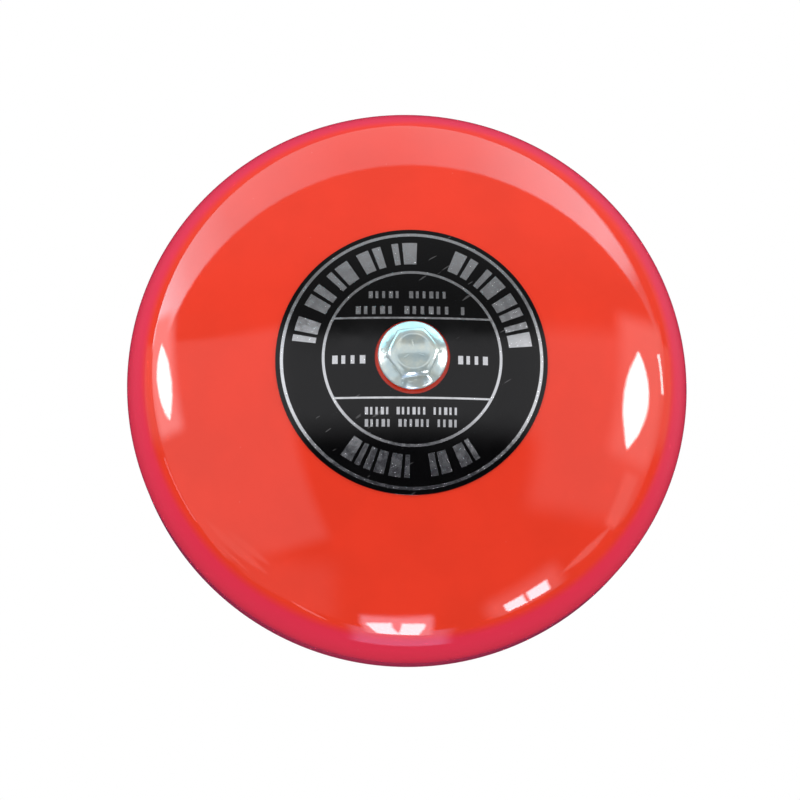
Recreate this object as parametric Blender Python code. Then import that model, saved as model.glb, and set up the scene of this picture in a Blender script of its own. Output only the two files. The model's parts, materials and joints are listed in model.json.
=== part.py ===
"""Fire alarm bell, 150 mm, motor driven: a painted steel gong over a weatherproof mechanism housing.

Everything is modelled in the wall frame (x right, y up, z out of the wall) and hangs from one
empty that stands that frame up, so that in the world the bell hangs on a wall and faces -Y.
Sizes are in metres, written as millimetres times MM.
"""

from math import asin, cos, pi, radians, sin, sqrt, tau

import bmesh
import bpy
from mathutils import Euler, Matrix, Vector

MM = 0.001
GAP = 0.3 * MM        # clearance between pieces that touch
CUT_PAST = 1 * MM     # how far a cutter runs past the face it cuts

# Segments round a turned piece, by its size and how well it shows.
ROUND_STEPS = 60
HIDDEN_STEPS = 40
FINE_STEPS = 28
SMALL_STEPS = 16
HOLE_STEPS = 10

# Gong: a straight skirt, a round shoulder and a shallow spherical cap.
GONG_RADIUS = 75 * MM
GONG_WALL = 1.6 * MM
GONG_RIM_Z = 18 * MM
SKIRT_HEIGHT = 10.7 * MM
SHOULDER_RADIUS = 14.65 * MM
SHOULDER_ROWS = 6
CAP_RADIUS = 141.2 * MM
GONG_HOLE_RADIUS = 4.6 * MM
SHOULDER_CENTRE = Vector((GONG_RADIUS - SHOULDER_RADIUS, GONG_RIM_Z + SKIRT_HEIGHT))
CAP_CENTRE_Z = SHOULDER_CENTRE.y - sqrt((CAP_RADIUS - SHOULDER_RADIUS) ** 2 - SHOULDER_CENTRE.x ** 2)
APEX_Z = CAP_CENTRE_Z + CAP_RADIUS

# Label: a thin disc that follows the cap.
LABEL_RADIUS = 35.1 * MM
LABEL_HOLE_RADIUS = 9.66 * MM
LABEL_THICKNESS = 0.25 * MM
LABEL_LIFT = 0.2 * MM
CAP_ROWS = (21 * MM, LABEL_RADIUS, 51 * MM)   # rings of points that gong and label share

# Bolt that holds the gong: M8 hexagon flange bolt on a sealing washer.
BOLT_ACROSS_FLATS = 12 * MM
BOLT_FLANGE_RADIUS = 8.9 * MM
BOLT_FLANGE_EDGE = 1 * MM
BOLT_CONE_TOP = 2.1 * MM
BOLT_HEAD_HEIGHT = 5.6 * MM
BOLT_CHAMFER_RADIUS = 4.95 * MM
BOLT_CHAMFER_SLOPE = 0.58
BOLT_SHANK_RADIUS = 3.9 * MM
BOLT_LENGTH = 20 * MM
BOLT_TURN = radians(6)
SEALING_WASHER_RADIUS = 8.5 * MM
SEALING_WASHER_THICKNESS = 0.8 * MM
SEALING_WASHER_Z = APEX_Z + GAP
BOLT_SEAT_Z = SEALING_WASHER_Z + SEALING_WASHER_THICKNESS + GAP

# Pillar that carries the gong, and the washer between them.
PILLAR_RADIUS = 7 * MM
PILLAR_FLANGE_RADIUS = 11 * MM
PILLAR_FLANGE_THICKNESS = 2.4 * MM
PILLAR_BORE_RADIUS = BOLT_SHANK_RADIUS + GAP
PILLAR_BORE_DEPTH = 19 * MM
PILLAR_SCREW_RADIUS = 3 * MM
PILLAR_SCREW_HEAD_RADIUS = 5 * MM
PILLAR_SCREW_HEAD = 0.9 * MM
PILLAR_SCREW_LENGTH = 14 * MM
SEAT_WASHER_RADIUS = 9 * MM
SEAT_WASHER_THICKNESS = 1.5 * MM
SEAT_WASHER_TOP = APEX_Z - GONG_WALL - 2 * GAP
PILLAR_TOP = SEAT_WASHER_TOP - SEAT_WASHER_THICKNESS - GAP

# Mounting plate on the wall, with three open slots.
PLATE_RADIUS = 67.5 * MM
PLATE_THICKNESS = 3 * MM
PLATE_CHAMFER = 0.5 * MM
SLOT_WIDTH = 5.5 * MM
SLOT_INNER_END = 58.5 * MM
SLOT_ANGLES = (0, 90, 180)
GASKET_INNER, GASKET_OUTER = 46.5 * MM, 49.5 * MM
GASKET_THICKNESS = 1.2 * MM
CABLE_HOLE = Vector((-24 * MM, 3 * MM))
CABLE_HOLE_RADIUS = 6.5 * MM
GROMMET_FLANGE_RADIUS = 8.6 * MM

# Housing: a cup that holds the mechanism.
HOUSING_RADIUS = 52 * MM
HOUSING_INNER = HOUSING_RADIUS - 2.5 * MM
HOUSING_BACK = PLATE_THICKNESS + GAP
HOUSING_FLOOR = HOUSING_BACK + 2.4 * MM
HOUSING_TOP = 35.5 * MM
HOUSING_BOSS_ROOT = HOUSING_FLOOR - 1 * MM
COVER_BOSS_CIRCLE = 46 * MM
COVER_BOSS_RADIUS = 4.8 * MM
COVER_BOSS_TOP = HOUSING_TOP - 0.4 * MM
COVER_BORE_BOTTOM = 22 * MM
COVER_SCREW_ANGLES = (100, 220, 340)
BUSH_BOSS_RADIUS = 7.5 * MM

# Chassis: a cast plate in the housing that the motor, the board and the pillar stand on.
CHASSIS_RADIUS = 42 * MM
CHASSIS_BOTTOM = HOUSING_FLOOR + GAP
CHASSIS_TOP = CHASSIS_BOTTOM + 2 * MM
CHASSIS_BOSS_ROOT = CHASSIS_TOP - 1 * MM
PLATE_BOSS_CIRCLE = 33 * MM
PLATE_BOSS_RADIUS = 3.6 * MM
PLATE_BOSS_TOP = 12 * MM
PLATE_SCREW_ANGLES = (28, 151, 238)
PLATE_SCREW_RADIUS = 1.4 * MM
PLATE_SCREW_HEAD = 2.9 * MM
PLATE_SCREW_LENGTH = 10 * MM
PLATE_SCREW_SINK = 0.3 * MM
PLATE_SCREW_BORE = PLATE_SCREW_RADIUS + 0.35 * MM

# Cover over the housing, with a lip outside the cup and a collar round the pillar.
COVER_GASKET_THICKNESS = 1 * MM
COVER_GASKET_INSET = 0.2 * MM
COVER_BOTTOM = HOUSING_TOP + COVER_GASKET_THICKNESS + 2 * GAP
COVER_TOP = COVER_BOTTOM + 2.5 * MM
COVER_LIP_BOTTOM = 31.5 * MM
COVER_INNER = HOUSING_RADIUS + GAP
COVER_RADIUS = COVER_INNER + 1.5 * MM
COVER_CHAMFER = 1.2 * MM
COVER_HOLE = PILLAR_RADIUS + 2.2 * MM
COLLAR_RADIUS = 12 * MM
COLLAR_TOP = COVER_TOP + 2.4 * MM
COLLAR_CHAMFER = 0.8 * MM

# Screws: shank radius, head radius and head height.
M3 = (1.35 * MM, 2.8 * MM, 2.0 * MM)
M2_5 = (1.1 * MM, 2.3 * MM, 1.6 * MM)
SCREW_CLEARANCE = 0.35 * MM
M3_BORE = M3[0] + SCREW_CLEARANCE
M2_5_BORE = M2_5[0] + SCREW_CLEARANCE

# Motor: its axis runs along x below the pillar.
MOTOR_Y = -19 * MM
MOTOR_Z = 24 * MM
MOTOR_RADIUS = 10 * MM
MOTOR_FRONT, MOTOR_REAR = 7 * MM, 27 * MM
MOTOR_CAN_WALL = 1 * MM
MOTOR_INNER = MOTOR_RADIUS - MOTOR_CAN_WALL
MOTOR_NOSE_BORE = 3.3 * MM
MAGNET_BORE = 6.3 * MM
ARMATURE_RADIUS, ARMATURE_SLOT_RADIUS = 5.9 * MM, 3.4 * MM
ARMATURE_START, ARMATURE_LENGTH = 10.8 * MM, 10 * MM
COMMUTATOR_RADIUS = 2.6 * MM
TERMINAL_OFFSET = 5.5 * MM
SHAFT_RADIUS = 1 * MM
SHAFT_BORE = SHAFT_RADIUS + GAP
SHAFT_START, SHAFT_END = -4.5 * MM, 28.5 * MM
CAM_RADIUS = 4.5 * MM
CAM_THROW = 1.5 * MM
CAM_WIDTH = 5 * MM
CAM_REACH = CAM_RADIUS + CAM_THROW
CAM_HUB_RADIUS = 3 * MM
CAM_HUB_END = 4.6 * MM
SET_SCREW_X = 3.55 * MM
SET_SCREW_RADIUS = 0.5 * MM
CRADLE_TOP = 17 * MM
CRADLE_HALF_WIDTH = 7 * MM

# Strap that holds the motor down.
CLAMP_X = 17 * MM
CLAMP_WIDTH = 6 * MM
CLAMP_THICKNESS = 1 * MM
CLAMP_INNER = MOTOR_RADIUS + GAP
CLAMP_OUTER = CLAMP_INNER + CLAMP_THICKNESS
CLAMP_FOOT_Z = 15 * MM
CLAMP_FOOT_REACH = 18.5 * MM
CLAMP_SCREW_Y = 15 * MM
CLAMP_BOSS_RADIUS = 3.2 * MM

# Striker: it slides along -y, out through the housing's wall, and hits the skirt.
STRIKER_TRAVEL = 3 * MM
STRIKE_CLEARANCE = 0.9 * MM      # from the hammer to the skirt at full travel
STRIKER_TOP = MOTOR_Y - CAM_REACH - GAP
TAIL_RADIUS, TAIL_LENGTH = 4 * MM, 2 * MM
ROD_RADIUS = 2.5 * MM
ROD_BORE = ROD_RADIUS + GAP
STRIKER_COLLAR_RADIUS = 4.5 * MM
STRIKER_COLLAR_TOP = STRIKER_TOP - TAIL_LENGTH - GAP
STRIKER_COLLAR_THICKNESS = 1 * MM
BUSH_INNER_END, BUSH_OUTER_END = -44 * MM, -56 * MM
BUSH_RADIUS = 4.6 * MM
BUSH_FLANGE_RADIUS = 6 * MM
BUSH_FLANGE_THICKNESS = 0.9 * MM
HAMMER_RADIUS = 4.5 * MM
HAMMER_CROWN = 2 * MM
HAMMER_SOCKET_RADIUS, HAMMER_SOCKET_DEPTH = 2.3 * MM, 5 * MM
HAMMER_INNER_END = -61.5 * MM
HAMMER_OUTER_END = -(GONG_RADIUS - GONG_WALL - STRIKE_CLEARANCE - STRIKER_TRAVEL)
SPRING_WIRE_RADIUS = 0.39 * MM
SPRING_RADIUS = 3.4 * MM
SPRING_COILS = 6
SPRING_STEPS_PER_COIL = 12
SPRING_TOP = STRIKER_COLLAR_TOP - STRIKER_COLLAR_THICKNESS - GAP
SPRING_BOTTOM = BUSH_INNER_END + GAP

# Circuit board above the pillar.
BOARD_SIZE = Vector((34 * MM, 17 * MM, 1.6 * MM))
BOARD_CENTRE = Vector((0, 25.5 * MM, 10.8 * MM))
BOARD_TOP = BOARD_CENTRE.z + BOARD_SIZE.z / 2
BOARD_BOTTOM = BOARD_CENTRE.z - BOARD_SIZE.z / 2
BOARD_SCREW_X = 13 * MM
BOARD_BOSS_RADIUS = 3 * MM
PART_SEAT = BOARD_TOP + GAP


# ---------------------------------------------------------------- helpers

for old in list(bpy.data.objects):
    bpy.data.objects.remove(old)


def mm(*pairs):
    """Pairs of millimetres as pairs of metres."""
    return [(a * MM, b * MM) for a, b in pairs]


def polar(radius, degrees, height=0.0):
    return Vector((radius * cos(radians(degrees)), radius * sin(radians(degrees)), height))


def paint(name, colour, roughness, metallic=0.0, coat=0.0):
    """A Principled material with one colour."""
    made = bpy.data.materials.new(name)
    made.use_nodes = True
    shader = made.node_tree.nodes["Principled BSDF"]
    shader.inputs["Base Color"].default_value = (*colour, 1)
    shader.inputs["Roughness"].default_value = roughness
    shader.inputs["Metallic"].default_value = metallic
    shader.inputs["Coat Weight"].default_value = coat
    made.diffuse_color = (*colour, 1)
    return made


def empty(name, location=(0, 0, 0), parent=None):
    made = bpy.data.objects.new(name, None)
    made.location = location
    made.parent = parent
    bpy.context.scene.collection.objects.link(made)
    return made


def shade(mesh):
    mesh.shade_smooth()
    mesh.set_sharp_from_angle(angle=radians(35))


def solid(name, bm, material, parent, location=(0, 0, 0), rotation=(0, 0, 0)):
    """Turns a bmesh into an object, shaded smooth but for its corners."""
    bmesh.ops.recalc_face_normals(bm, faces=bm.faces)
    mesh = bpy.data.meshes.new(name)
    bm.to_mesh(mesh)
    bm.free()
    shade(mesh)
    made = bpy.data.objects.new(name, mesh)
    made.location = location
    made.rotation_euler = rotation
    made.parent = parent
    if material:
        mesh.materials.append(material)
    bpy.context.scene.collection.objects.link(made)
    return made


def add_turned(bm, profile, steps, place=Matrix()):
    """Adds a closed body: a closed profile of (radius, height) points, spun about z."""
    part = bmesh.new()
    points = [part.verts.new((radius, 0, height)) for radius, height in profile]
    edges = [part.edges.new(ends) for ends in zip(points, points[1:] + points[:1])]
    bmesh.ops.spin(part, geom=points + edges, cent=(0, 0, 0), axis=(0, 0, 1), angle=tau, steps=steps,
                   use_merge=True)
    bmesh.ops.remove_doubles(part, verts=part.verts, dist=MM / 10000)
    loose = [edge for edge in part.edges if not edge.link_faces]
    bmesh.ops.delete(part, geom=loose, context="EDGES")
    bmesh.ops.recalc_face_normals(part, faces=part.faces)
    part.transform(place)
    copied = bpy.data.meshes.new("turned")
    part.to_mesh(copied)
    part.free()
    bm.from_mesh(copied)
    bpy.data.meshes.remove(copied)


def add_cylinder(bm, radius, start, end, steps=SMALL_STEPS):
    """Adds a closed cylinder between two points."""
    start, end = Vector(start), Vector(end)
    along = end - start
    place = Matrix.Translation((start + end) / 2) @ along.to_track_quat("Z", "X").to_matrix().to_4x4()
    bmesh.ops.create_cone(bm, cap_ends=True, segments=steps, radius1=radius, radius2=radius,
                          depth=along.length, matrix=place)


def add_box(bm, low, high):
    """Adds a closed box between two corners."""
    low, high = Vector(low), Vector(high)
    place = Matrix.Translation((low + high) / 2) @ Matrix.Diagonal((*(high - low), 1))
    bmesh.ops.create_cube(bm, size=1, matrix=place)


def add_prism(bm, outline, depth):
    """Adds a closed prism: a flat outline of points, extruded by a vector."""
    face = bm.faces.new([bm.verts.new(point) for point in outline])
    raised = bmesh.ops.extrude_face_region(bm, geom=[face])["geom"]
    corners = [item for item in raised if isinstance(item, bmesh.types.BMVert)]
    bmesh.ops.translate(bm, vec=depth, verts=corners)


def turned(name, profile, material, parent, steps=HIDDEN_STEPS, **place):
    bm = bmesh.new()
    add_turned(bm, profile, steps)
    return solid(name, bm, material, parent, **place)


def ring(name, inner, outer, low, high, material, steps=FINE_STEPS):
    """A flat washer or gasket about the bell's axis."""
    return turned(name, [(outer, high), (outer, low), (inner, low), (inner, high)], material, wall, steps)


def boxed(name, low, high, material, parent):
    bm = bmesh.new()
    add_box(bm, low, high)
    return solid(name, bm, material, parent)


def rod(name, radius, start, end, material, parent, steps=SMALL_STEPS):
    bm = bmesh.new()
    add_cylinder(bm, radius, start, end, steps)
    return solid(name, bm, material, parent)


def combine(target, bm, operation, parent):
    """Joins a hidden helper body to the target, or cuts it away."""
    helper = solid(f"{target.name}_{operation.lower()}_{len(target.modifiers)}", bm, None, parent)
    helper.hide_render = True
    helper.display_type = "WIRE"
    modifier = target.modifiers.new(helper.name, "BOOLEAN")
    modifier.operation = operation
    modifier.solver = "EXACT"
    modifier.object = helper


def settle():
    """Applies every join and cut, removes the helpers and shades the results."""
    bpy.context.view_layer.update()
    graph = bpy.context.evaluated_depsgraph_get()
    cut = [made for made in bpy.data.objects if made.modifiers]
    meshes = [bpy.data.meshes.new_from_object(made.evaluated_get(graph), depsgraph=graph) for made in cut]
    for made, mesh in zip(cut, meshes):
        made.modifiers.clear()
        made.data = mesh
        shade(mesh)
    for made in list(bpy.data.objects):
        if made.hide_render:
            bpy.data.objects.remove(made)


def pan_head_screw(name, size, seat, length, parent):
    """A pan-head screw with a cross recess, its head standing on seat."""
    shank, head, height = size
    profile = [(0, height), (head * 0.6, height), (head, height * 0.55), (head, 0), (shank, 0),
               (shank, shank - length), (shank * 0.4, -length), (0, -length)]
    made = turned(name, profile, ZINC, parent, HOLE_STEPS, location=seat)
    bar, tip, recess_floor = head * 0.16, head * 0.62, height * 0.45
    arm = [Vector((x, y, recess_floor)) for x, y in ((tip, -bar), (tip, bar), (bar, bar))]
    cross = [Matrix.Rotation(quarter * pi / 2, 3, "Z") @ point for quarter in range(4) for point in arm]
    recess = bmesh.new()
    add_prism(recess, cross, (0, 0, height))
    combine(made, recess, "DIFFERENCE", made)


def tube(name, path, radius, material, parent, sides=6):
    """A wire of round section along a path of points."""
    bm = bmesh.new()
    rings = []
    for before, point, after in zip([path[0], *path], path, [*path[1:], path[-1]]):
        turn = (after - before).to_track_quat("Z", "Y")
        rings.append([bm.verts.new(point + turn @ polar(radius, 360 * k / sides)) for k in range(sides)])
    for low, high in zip(rings, rings[1:]):
        for k in range(sides):
            bm.faces.new((low[k], low[k - 1], high[k - 1], high[k]))
    bm.faces.new(rings[0])
    bm.faces.new(rings[-1])
    solid(name, bm, material, parent)


def smooth_path(points, steps=6):
    """Catmull-Rom points through the given ones."""
    points = [Vector(point) for point in points]
    padded = [points[0], *points, points[-1]]
    path = []
    for a, b, c, d in zip(padded, padded[1:], padded[2:], padded[3:]):
        for k in range(steps):
            t = k / steps
            path.append((2 * b + (c - a) * t + (2 * a - 5 * b + 4 * c - d) * t ** 2
                         + (3 * b - a - 3 * c + d) * t ** 3) / 2)
    return path + [points[-1]]


# ---------------------------------------------------------------- materials

RED_ENAMEL = paint("red_enamel", (0.72, 0.035, 0.025), 0.12, coat=1.0)
LABEL_BLACK = paint("label_black", (0.012, 0.012, 0.014), 0.15, coat=0.5)
ZINC = paint("zinc_plate", (0.75, 0.78, 0.79), 0.25, 1.0)
STEEL = paint("bright_steel", (0.6, 0.6, 0.6), 0.3, 1.0)
CAST_ALLOY = paint("cast_alloy", (0.52, 0.53, 0.54), 0.5, 1.0)
BLACK_PLASTIC = paint("black_plastic", (0.02, 0.02, 0.022), 0.45)
RUBBER = paint("black_rubber", (0.015, 0.015, 0.015), 0.8)
BRASS = paint("brass", (0.8, 0.58, 0.25), 0.3, 1.0)
FERRITE = paint("ferrite", (0.08, 0.08, 0.085), 0.6)
COPPER = paint("copper_winding", (0.72, 0.36, 0.2), 0.35, 1.0)
NYLON = paint("white_nylon", (0.85, 0.84, 0.8), 0.4)
BOARD_GREEN = paint("board_green", (0.03, 0.22, 0.08), 0.4)
CAPACITOR_SLEEVE = paint("capacitor_sleeve", (0.03, 0.05, 0.2), 0.35)
TERMINAL_GREEN = paint("terminal_green", (0.06, 0.35, 0.12), 0.45)
WIRE_RED = paint("wire_red", (0.6, 0.03, 0.03), 0.45)
WIRE_BLACK = paint("wire_black", (0.02, 0.02, 0.02), 0.45)


# ---------------------------------------------------------------- frames

wall = empty("wall_frame")
wall.rotation_euler = Euler((pi / 2, 0, 0))
motor_axis = empty("motor_axis", (0, MOTOR_Y, MOTOR_Z), wall)
striker_axis = empty("striker_axis", (0, 0, MOTOR_Z), wall)
bolt_axis = empty("bolt_axis", (0, 0, BOLT_SEAT_Z), wall)

ALONG_MOTOR = (0, pi / 2, 0)     # turns a profile's height to the motor's x
ALONG_STRIKE = (pi / 2, 0, 0)    # turns a profile's height to -y, the way the striker moves


# ---------------------------------------------------------------- gong, label and bolt

def cap_height(distance, inset=0.0):
    """Height of the cap at a distance from the axis, inset from the outer face."""
    return CAP_CENTRE_Z + sqrt((CAP_RADIUS - inset) ** 2 - distance ** 2)


def gong_face(inset):
    """One face of the gong, from the hole out and down to the rim, as (radius, height) points."""
    face = [(row, cap_height(row, inset)) for row in (GONG_HOLE_RADIUS, *CAP_ROWS)]
    tangent = asin(SHOULDER_CENTRE.x / (CAP_RADIUS - SHOULDER_RADIUS))
    radius = SHOULDER_RADIUS - inset
    for k in range(SHOULDER_ROWS + 1):
        angle = tangent + (pi / 2 - tangent) * k / SHOULDER_ROWS
        face.append((SHOULDER_CENTRE.x + radius * sin(angle), SHOULDER_CENTRE.y + radius * cos(angle)))
    return face + [(GONG_RADIUS - inset, GONG_RIM_Z)]


def make_gong():
    turned("gong", gong_face(0) + gong_face(GONG_WALL)[::-1], RED_ENAMEL, wall, ROUND_STEPS)
    rows = (LABEL_HOLE_RADIUS, *CAP_ROWS[:2])
    under = [(row, cap_height(row) + LABEL_LIFT) for row in rows]
    top = [(row, height + LABEL_THICKNESS) for row, height in under]
    turned("label_disc", top + under[::-1], LABEL_BLACK, wall, ROUND_STEPS)


def make_bolt():
    """The head stands on the bolt axis's origin: a chamfered hexagon on a turned flange and shank."""
    corner = BOLT_ACROSS_FLATS / sqrt(3)
    head = bmesh.new()
    hexagon = [polar(corner, 60 * side, BOLT_FLANGE_EDGE) for side in range(6)]
    add_prism(head, hexagon, (0, 0, BOLT_HEAD_HEIGHT - BOLT_FLANGE_EDGE))
    head.transform(Matrix.Rotation(BOLT_TURN, 4, "Z"))
    bolt = solid("gong_bolt", head, ZINC, bolt_axis)
    outside = corner + 1 * MM
    chamfer = (outside - BOLT_CHAMFER_RADIUS) * BOLT_CHAMFER_SLOPE
    cone = bmesh.new()
    add_turned(cone, [(0, BOLT_HEAD_HEIGHT), (BOLT_CHAMFER_RADIUS, BOLT_HEAD_HEIGHT),
                      (outside, BOLT_HEAD_HEIGHT - chamfer), (outside, 0), (0, 0)], HIDDEN_STEPS)
    combine(bolt, cone, "INTERSECT", bolt_axis)
    shank_end, tip = -BOLT_LENGTH, 1 * MM
    flange = bmesh.new()
    add_turned(flange, [(0, BOLT_CONE_TOP + tip), (corner - tip, BOLT_CONE_TOP + tip / 4),
                        (corner, BOLT_CONE_TOP), (BOLT_FLANGE_RADIUS, BOLT_FLANGE_EDGE),
                        (BOLT_FLANGE_RADIUS, 0),
                        (BOLT_SHANK_RADIUS, 0), (BOLT_SHANK_RADIUS, shank_end + tip),
                        (BOLT_SHANK_RADIUS - tip, shank_end), (0, shank_end)], HIDDEN_STEPS)
    combine(bolt, flange, "UNION", bolt_axis)
    ring("bolt_sealing_washer", BOLT_SHANK_RADIUS + GAP, SEALING_WASHER_RADIUS, SEALING_WASHER_Z,
         SEALING_WASHER_Z + SEALING_WASHER_THICKNESS, RUBBER)


def make_pillar():
    base = CHASSIS_TOP + GAP
    chamfer = 0.7 * MM
    screw_bore, screw_bore_top = PILLAR_SCREW_RADIUS + GAP, base + 12 * MM
    profile = [(PILLAR_RADIUS - chamfer, PILLAR_TOP), (PILLAR_RADIUS, PILLAR_TOP - chamfer),
               (PILLAR_RADIUS, base + PILLAR_FLANGE_THICKNESS + chamfer),
               (PILLAR_FLANGE_RADIUS, base + PILLAR_FLANGE_THICKNESS), (PILLAR_FLANGE_RADIUS, base),
               (screw_bore, base), (screw_bore, screw_bore_top), (0, screw_bore_top),
               (0, PILLAR_TOP - PILLAR_BORE_DEPTH), (PILLAR_BORE_RADIUS, PILLAR_TOP - PILLAR_BORE_DEPTH),
               (PILLAR_BORE_RADIUS, PILLAR_TOP)]
    turned("gong_pillar", profile, STEEL, wall, FINE_STEPS)
    chamfer = 0.6 * MM
    profile = [(0, PILLAR_SCREW_LENGTH), (PILLAR_SCREW_RADIUS - chamfer, PILLAR_SCREW_LENGTH),
               (PILLAR_SCREW_RADIUS, PILLAR_SCREW_LENGTH - chamfer), (PILLAR_SCREW_RADIUS, PILLAR_SCREW_HEAD),
               (PILLAR_SCREW_HEAD_RADIUS, PILLAR_SCREW_HEAD), (PILLAR_SCREW_HEAD_RADIUS, 0), (0, 0)]
    turned("pillar_screw", profile, ZINC, wall, SMALL_STEPS, location=(0, 0, HOUSING_BACK + 0.2 * MM))
    ring("gong_seat_washer", GONG_HOLE_RADIUS, SEAT_WASHER_RADIUS, SEAT_WASHER_TOP - SEAT_WASHER_THICKNESS,
         SEAT_WASHER_TOP, NYLON)
    ring("pillar_seal", PILLAR_RADIUS + GAP, COVER_HOLE - GAP, COVER_BOTTOM + 0.4 * MM, COLLAR_TOP + 0.5 * MM,
         RUBBER)


# ---------------------------------------------------------------- plate, housing and cover

def make_plate():
    profile = [(0, PLATE_THICKNESS), (PLATE_RADIUS - PLATE_CHAMFER, PLATE_THICKNESS),
               (PLATE_RADIUS, PLATE_THICKNESS - PLATE_CHAMFER), (PLATE_RADIUS, 0), (0, 0)]
    plate = turned("mounting_plate", profile, CAST_ALLOY, wall)
    through = PLATE_THICKNESS + 2 * CUT_PAST
    cutters = bmesh.new()
    half, far = SLOT_WIDTH / 2, PLATE_RADIUS + 5 * MM
    slot_end = [Vector((SLOT_INNER_END, 0, 0)) - polar(half, degrees) for degrees in range(-90, 91, 30)]
    outline = [Vector((far, half, 0)), *slot_end, Vector((far, -half, 0))]
    for degrees in SLOT_ANGLES:
        place = Matrix.Translation((0, 0, -CUT_PAST)) @ Matrix.Rotation(radians(degrees), 4, "Z")
        add_prism(cutters, [place @ point for point in outline], (0, 0, through))
    add_cylinder(cutters, CABLE_HOLE_RADIUS, (*CABLE_HOLE, -CUT_PAST), (*CABLE_HOLE, through - CUT_PAST))
    top, sink = through, PLATE_SCREW_HEAD + 0.6 * MM
    countersink = [(0, top), (PLATE_SCREW_BORE, top), (PLATE_SCREW_BORE, sink - PLATE_SCREW_BORE),
                   (sink, 0.1 * MM), (sink, -CUT_PAST), (0, -CUT_PAST)]
    for degrees in PLATE_SCREW_ANGLES:
        add_turned(cutters, countersink, HOLE_STEPS, Matrix.Translation(polar(PLATE_BOSS_CIRCLE, degrees)))
    combine(plate, cutters, "DIFFERENCE", wall)
    groove = bmesh.new()
    inner, outer, floor = GASKET_INNER - GAP, GASKET_OUTER + GAP, GASKET_THICKNESS + GAP
    add_turned(groove, [(outer, floor), (outer, -CUT_PAST), (inner, -CUT_PAST), (inner, floor)], HIDDEN_STEPS)
    combine(plate, groove, "DIFFERENCE", wall)
    ring("wall_gasket", GASKET_INNER, GASKET_OUTER, 0, GASKET_THICKNESS, RUBBER, HIDDEN_STEPS)
    make_plate_screws()


def make_plate_screws():
    """Flat-head screws from behind, through plate and housing into the chassis."""
    shank, head, length = PLATE_SCREW_RADIUS, PLATE_SCREW_HEAD, PLATE_SCREW_LENGTH
    profile = [(0, length), (shank * 0.4, length), (shank, length - shank), (shank, head - shank),
               (head, 0.15 * MM), (head, 0), (0, 0)]
    for number, degrees in enumerate(PLATE_SCREW_ANGLES, 1):
        place = polar(PLATE_BOSS_CIRCLE, degrees, PLATE_SCREW_SINK)
        turned(f"housing_screw_{number}", profile, ZINC, wall, HOLE_STEPS, location=place)


def make_housing():
    profile = [(HOUSING_RADIUS, HOUSING_TOP), (HOUSING_RADIUS, HOUSING_BACK), (0, HOUSING_BACK),
               (0, HOUSING_FLOOR), (HOUSING_INNER, HOUSING_FLOOR), (HOUSING_INNER, HOUSING_TOP)]
    housing = turned("housing", profile, CAST_ALLOY, wall)
    bosses = bmesh.new()
    holes = bmesh.new()
    for degrees in COVER_SCREW_ANGLES:
        add_cylinder(bosses, COVER_BOSS_RADIUS, polar(COVER_BOSS_CIRCLE, degrees, HOUSING_BOSS_ROOT),
                     polar(COVER_BOSS_CIRCLE, degrees, COVER_BOSS_TOP))
        add_cylinder(holes, M3_BORE, polar(COVER_BOSS_CIRCLE, degrees, COVER_BORE_BOTTOM),
                     polar(COVER_BOSS_CIRCLE, degrees, HOUSING_TOP + CUT_PAST), HOLE_STEPS)
    combine(housing, bosses, "UNION", wall)
    bush_boss = bmesh.new()
    add_cylinder(bush_boss, BUSH_BOSS_RADIUS, (0, BUSH_INNER_END - BUSH_FLANGE_THICKNESS - GAP, MOTOR_Z),
                 (0, 1 * MM - HOUSING_RADIUS, MOTOR_Z))
    combine(housing, bush_boss, "UNION", wall)
    below, above = HOUSING_BACK - CUT_PAST, HOUSING_FLOOR + CUT_PAST
    for degrees in PLATE_SCREW_ANGLES:
        add_cylinder(holes, PLATE_SCREW_BORE, polar(PLATE_BOSS_CIRCLE, degrees, below),
                     polar(PLATE_BOSS_CIRCLE, degrees, above), HOLE_STEPS)
    add_cylinder(holes, CABLE_HOLE_RADIUS, (*CABLE_HOLE, below), (*CABLE_HOLE, above))
    shank, head = PILLAR_SCREW_RADIUS + GAP, PILLAR_SCREW_HEAD_RADIUS + GAP
    ledge = HOUSING_BACK + PILLAR_SCREW_HEAD + 0.5 * MM
    add_turned(holes, [(0, above), (shank, above), (shank, ledge), (head, ledge), (head, below), (0, below)],
               SMALL_STEPS)
    add_cylinder(holes, BUSH_RADIUS + GAP, (0, BUSH_INNER_END + CUT_PAST, MOTOR_Z),
                 (0, BUSH_OUTER_END - CUT_PAST, MOTOR_Z))
    combine(housing, holes, "DIFFERENCE", wall)


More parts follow.
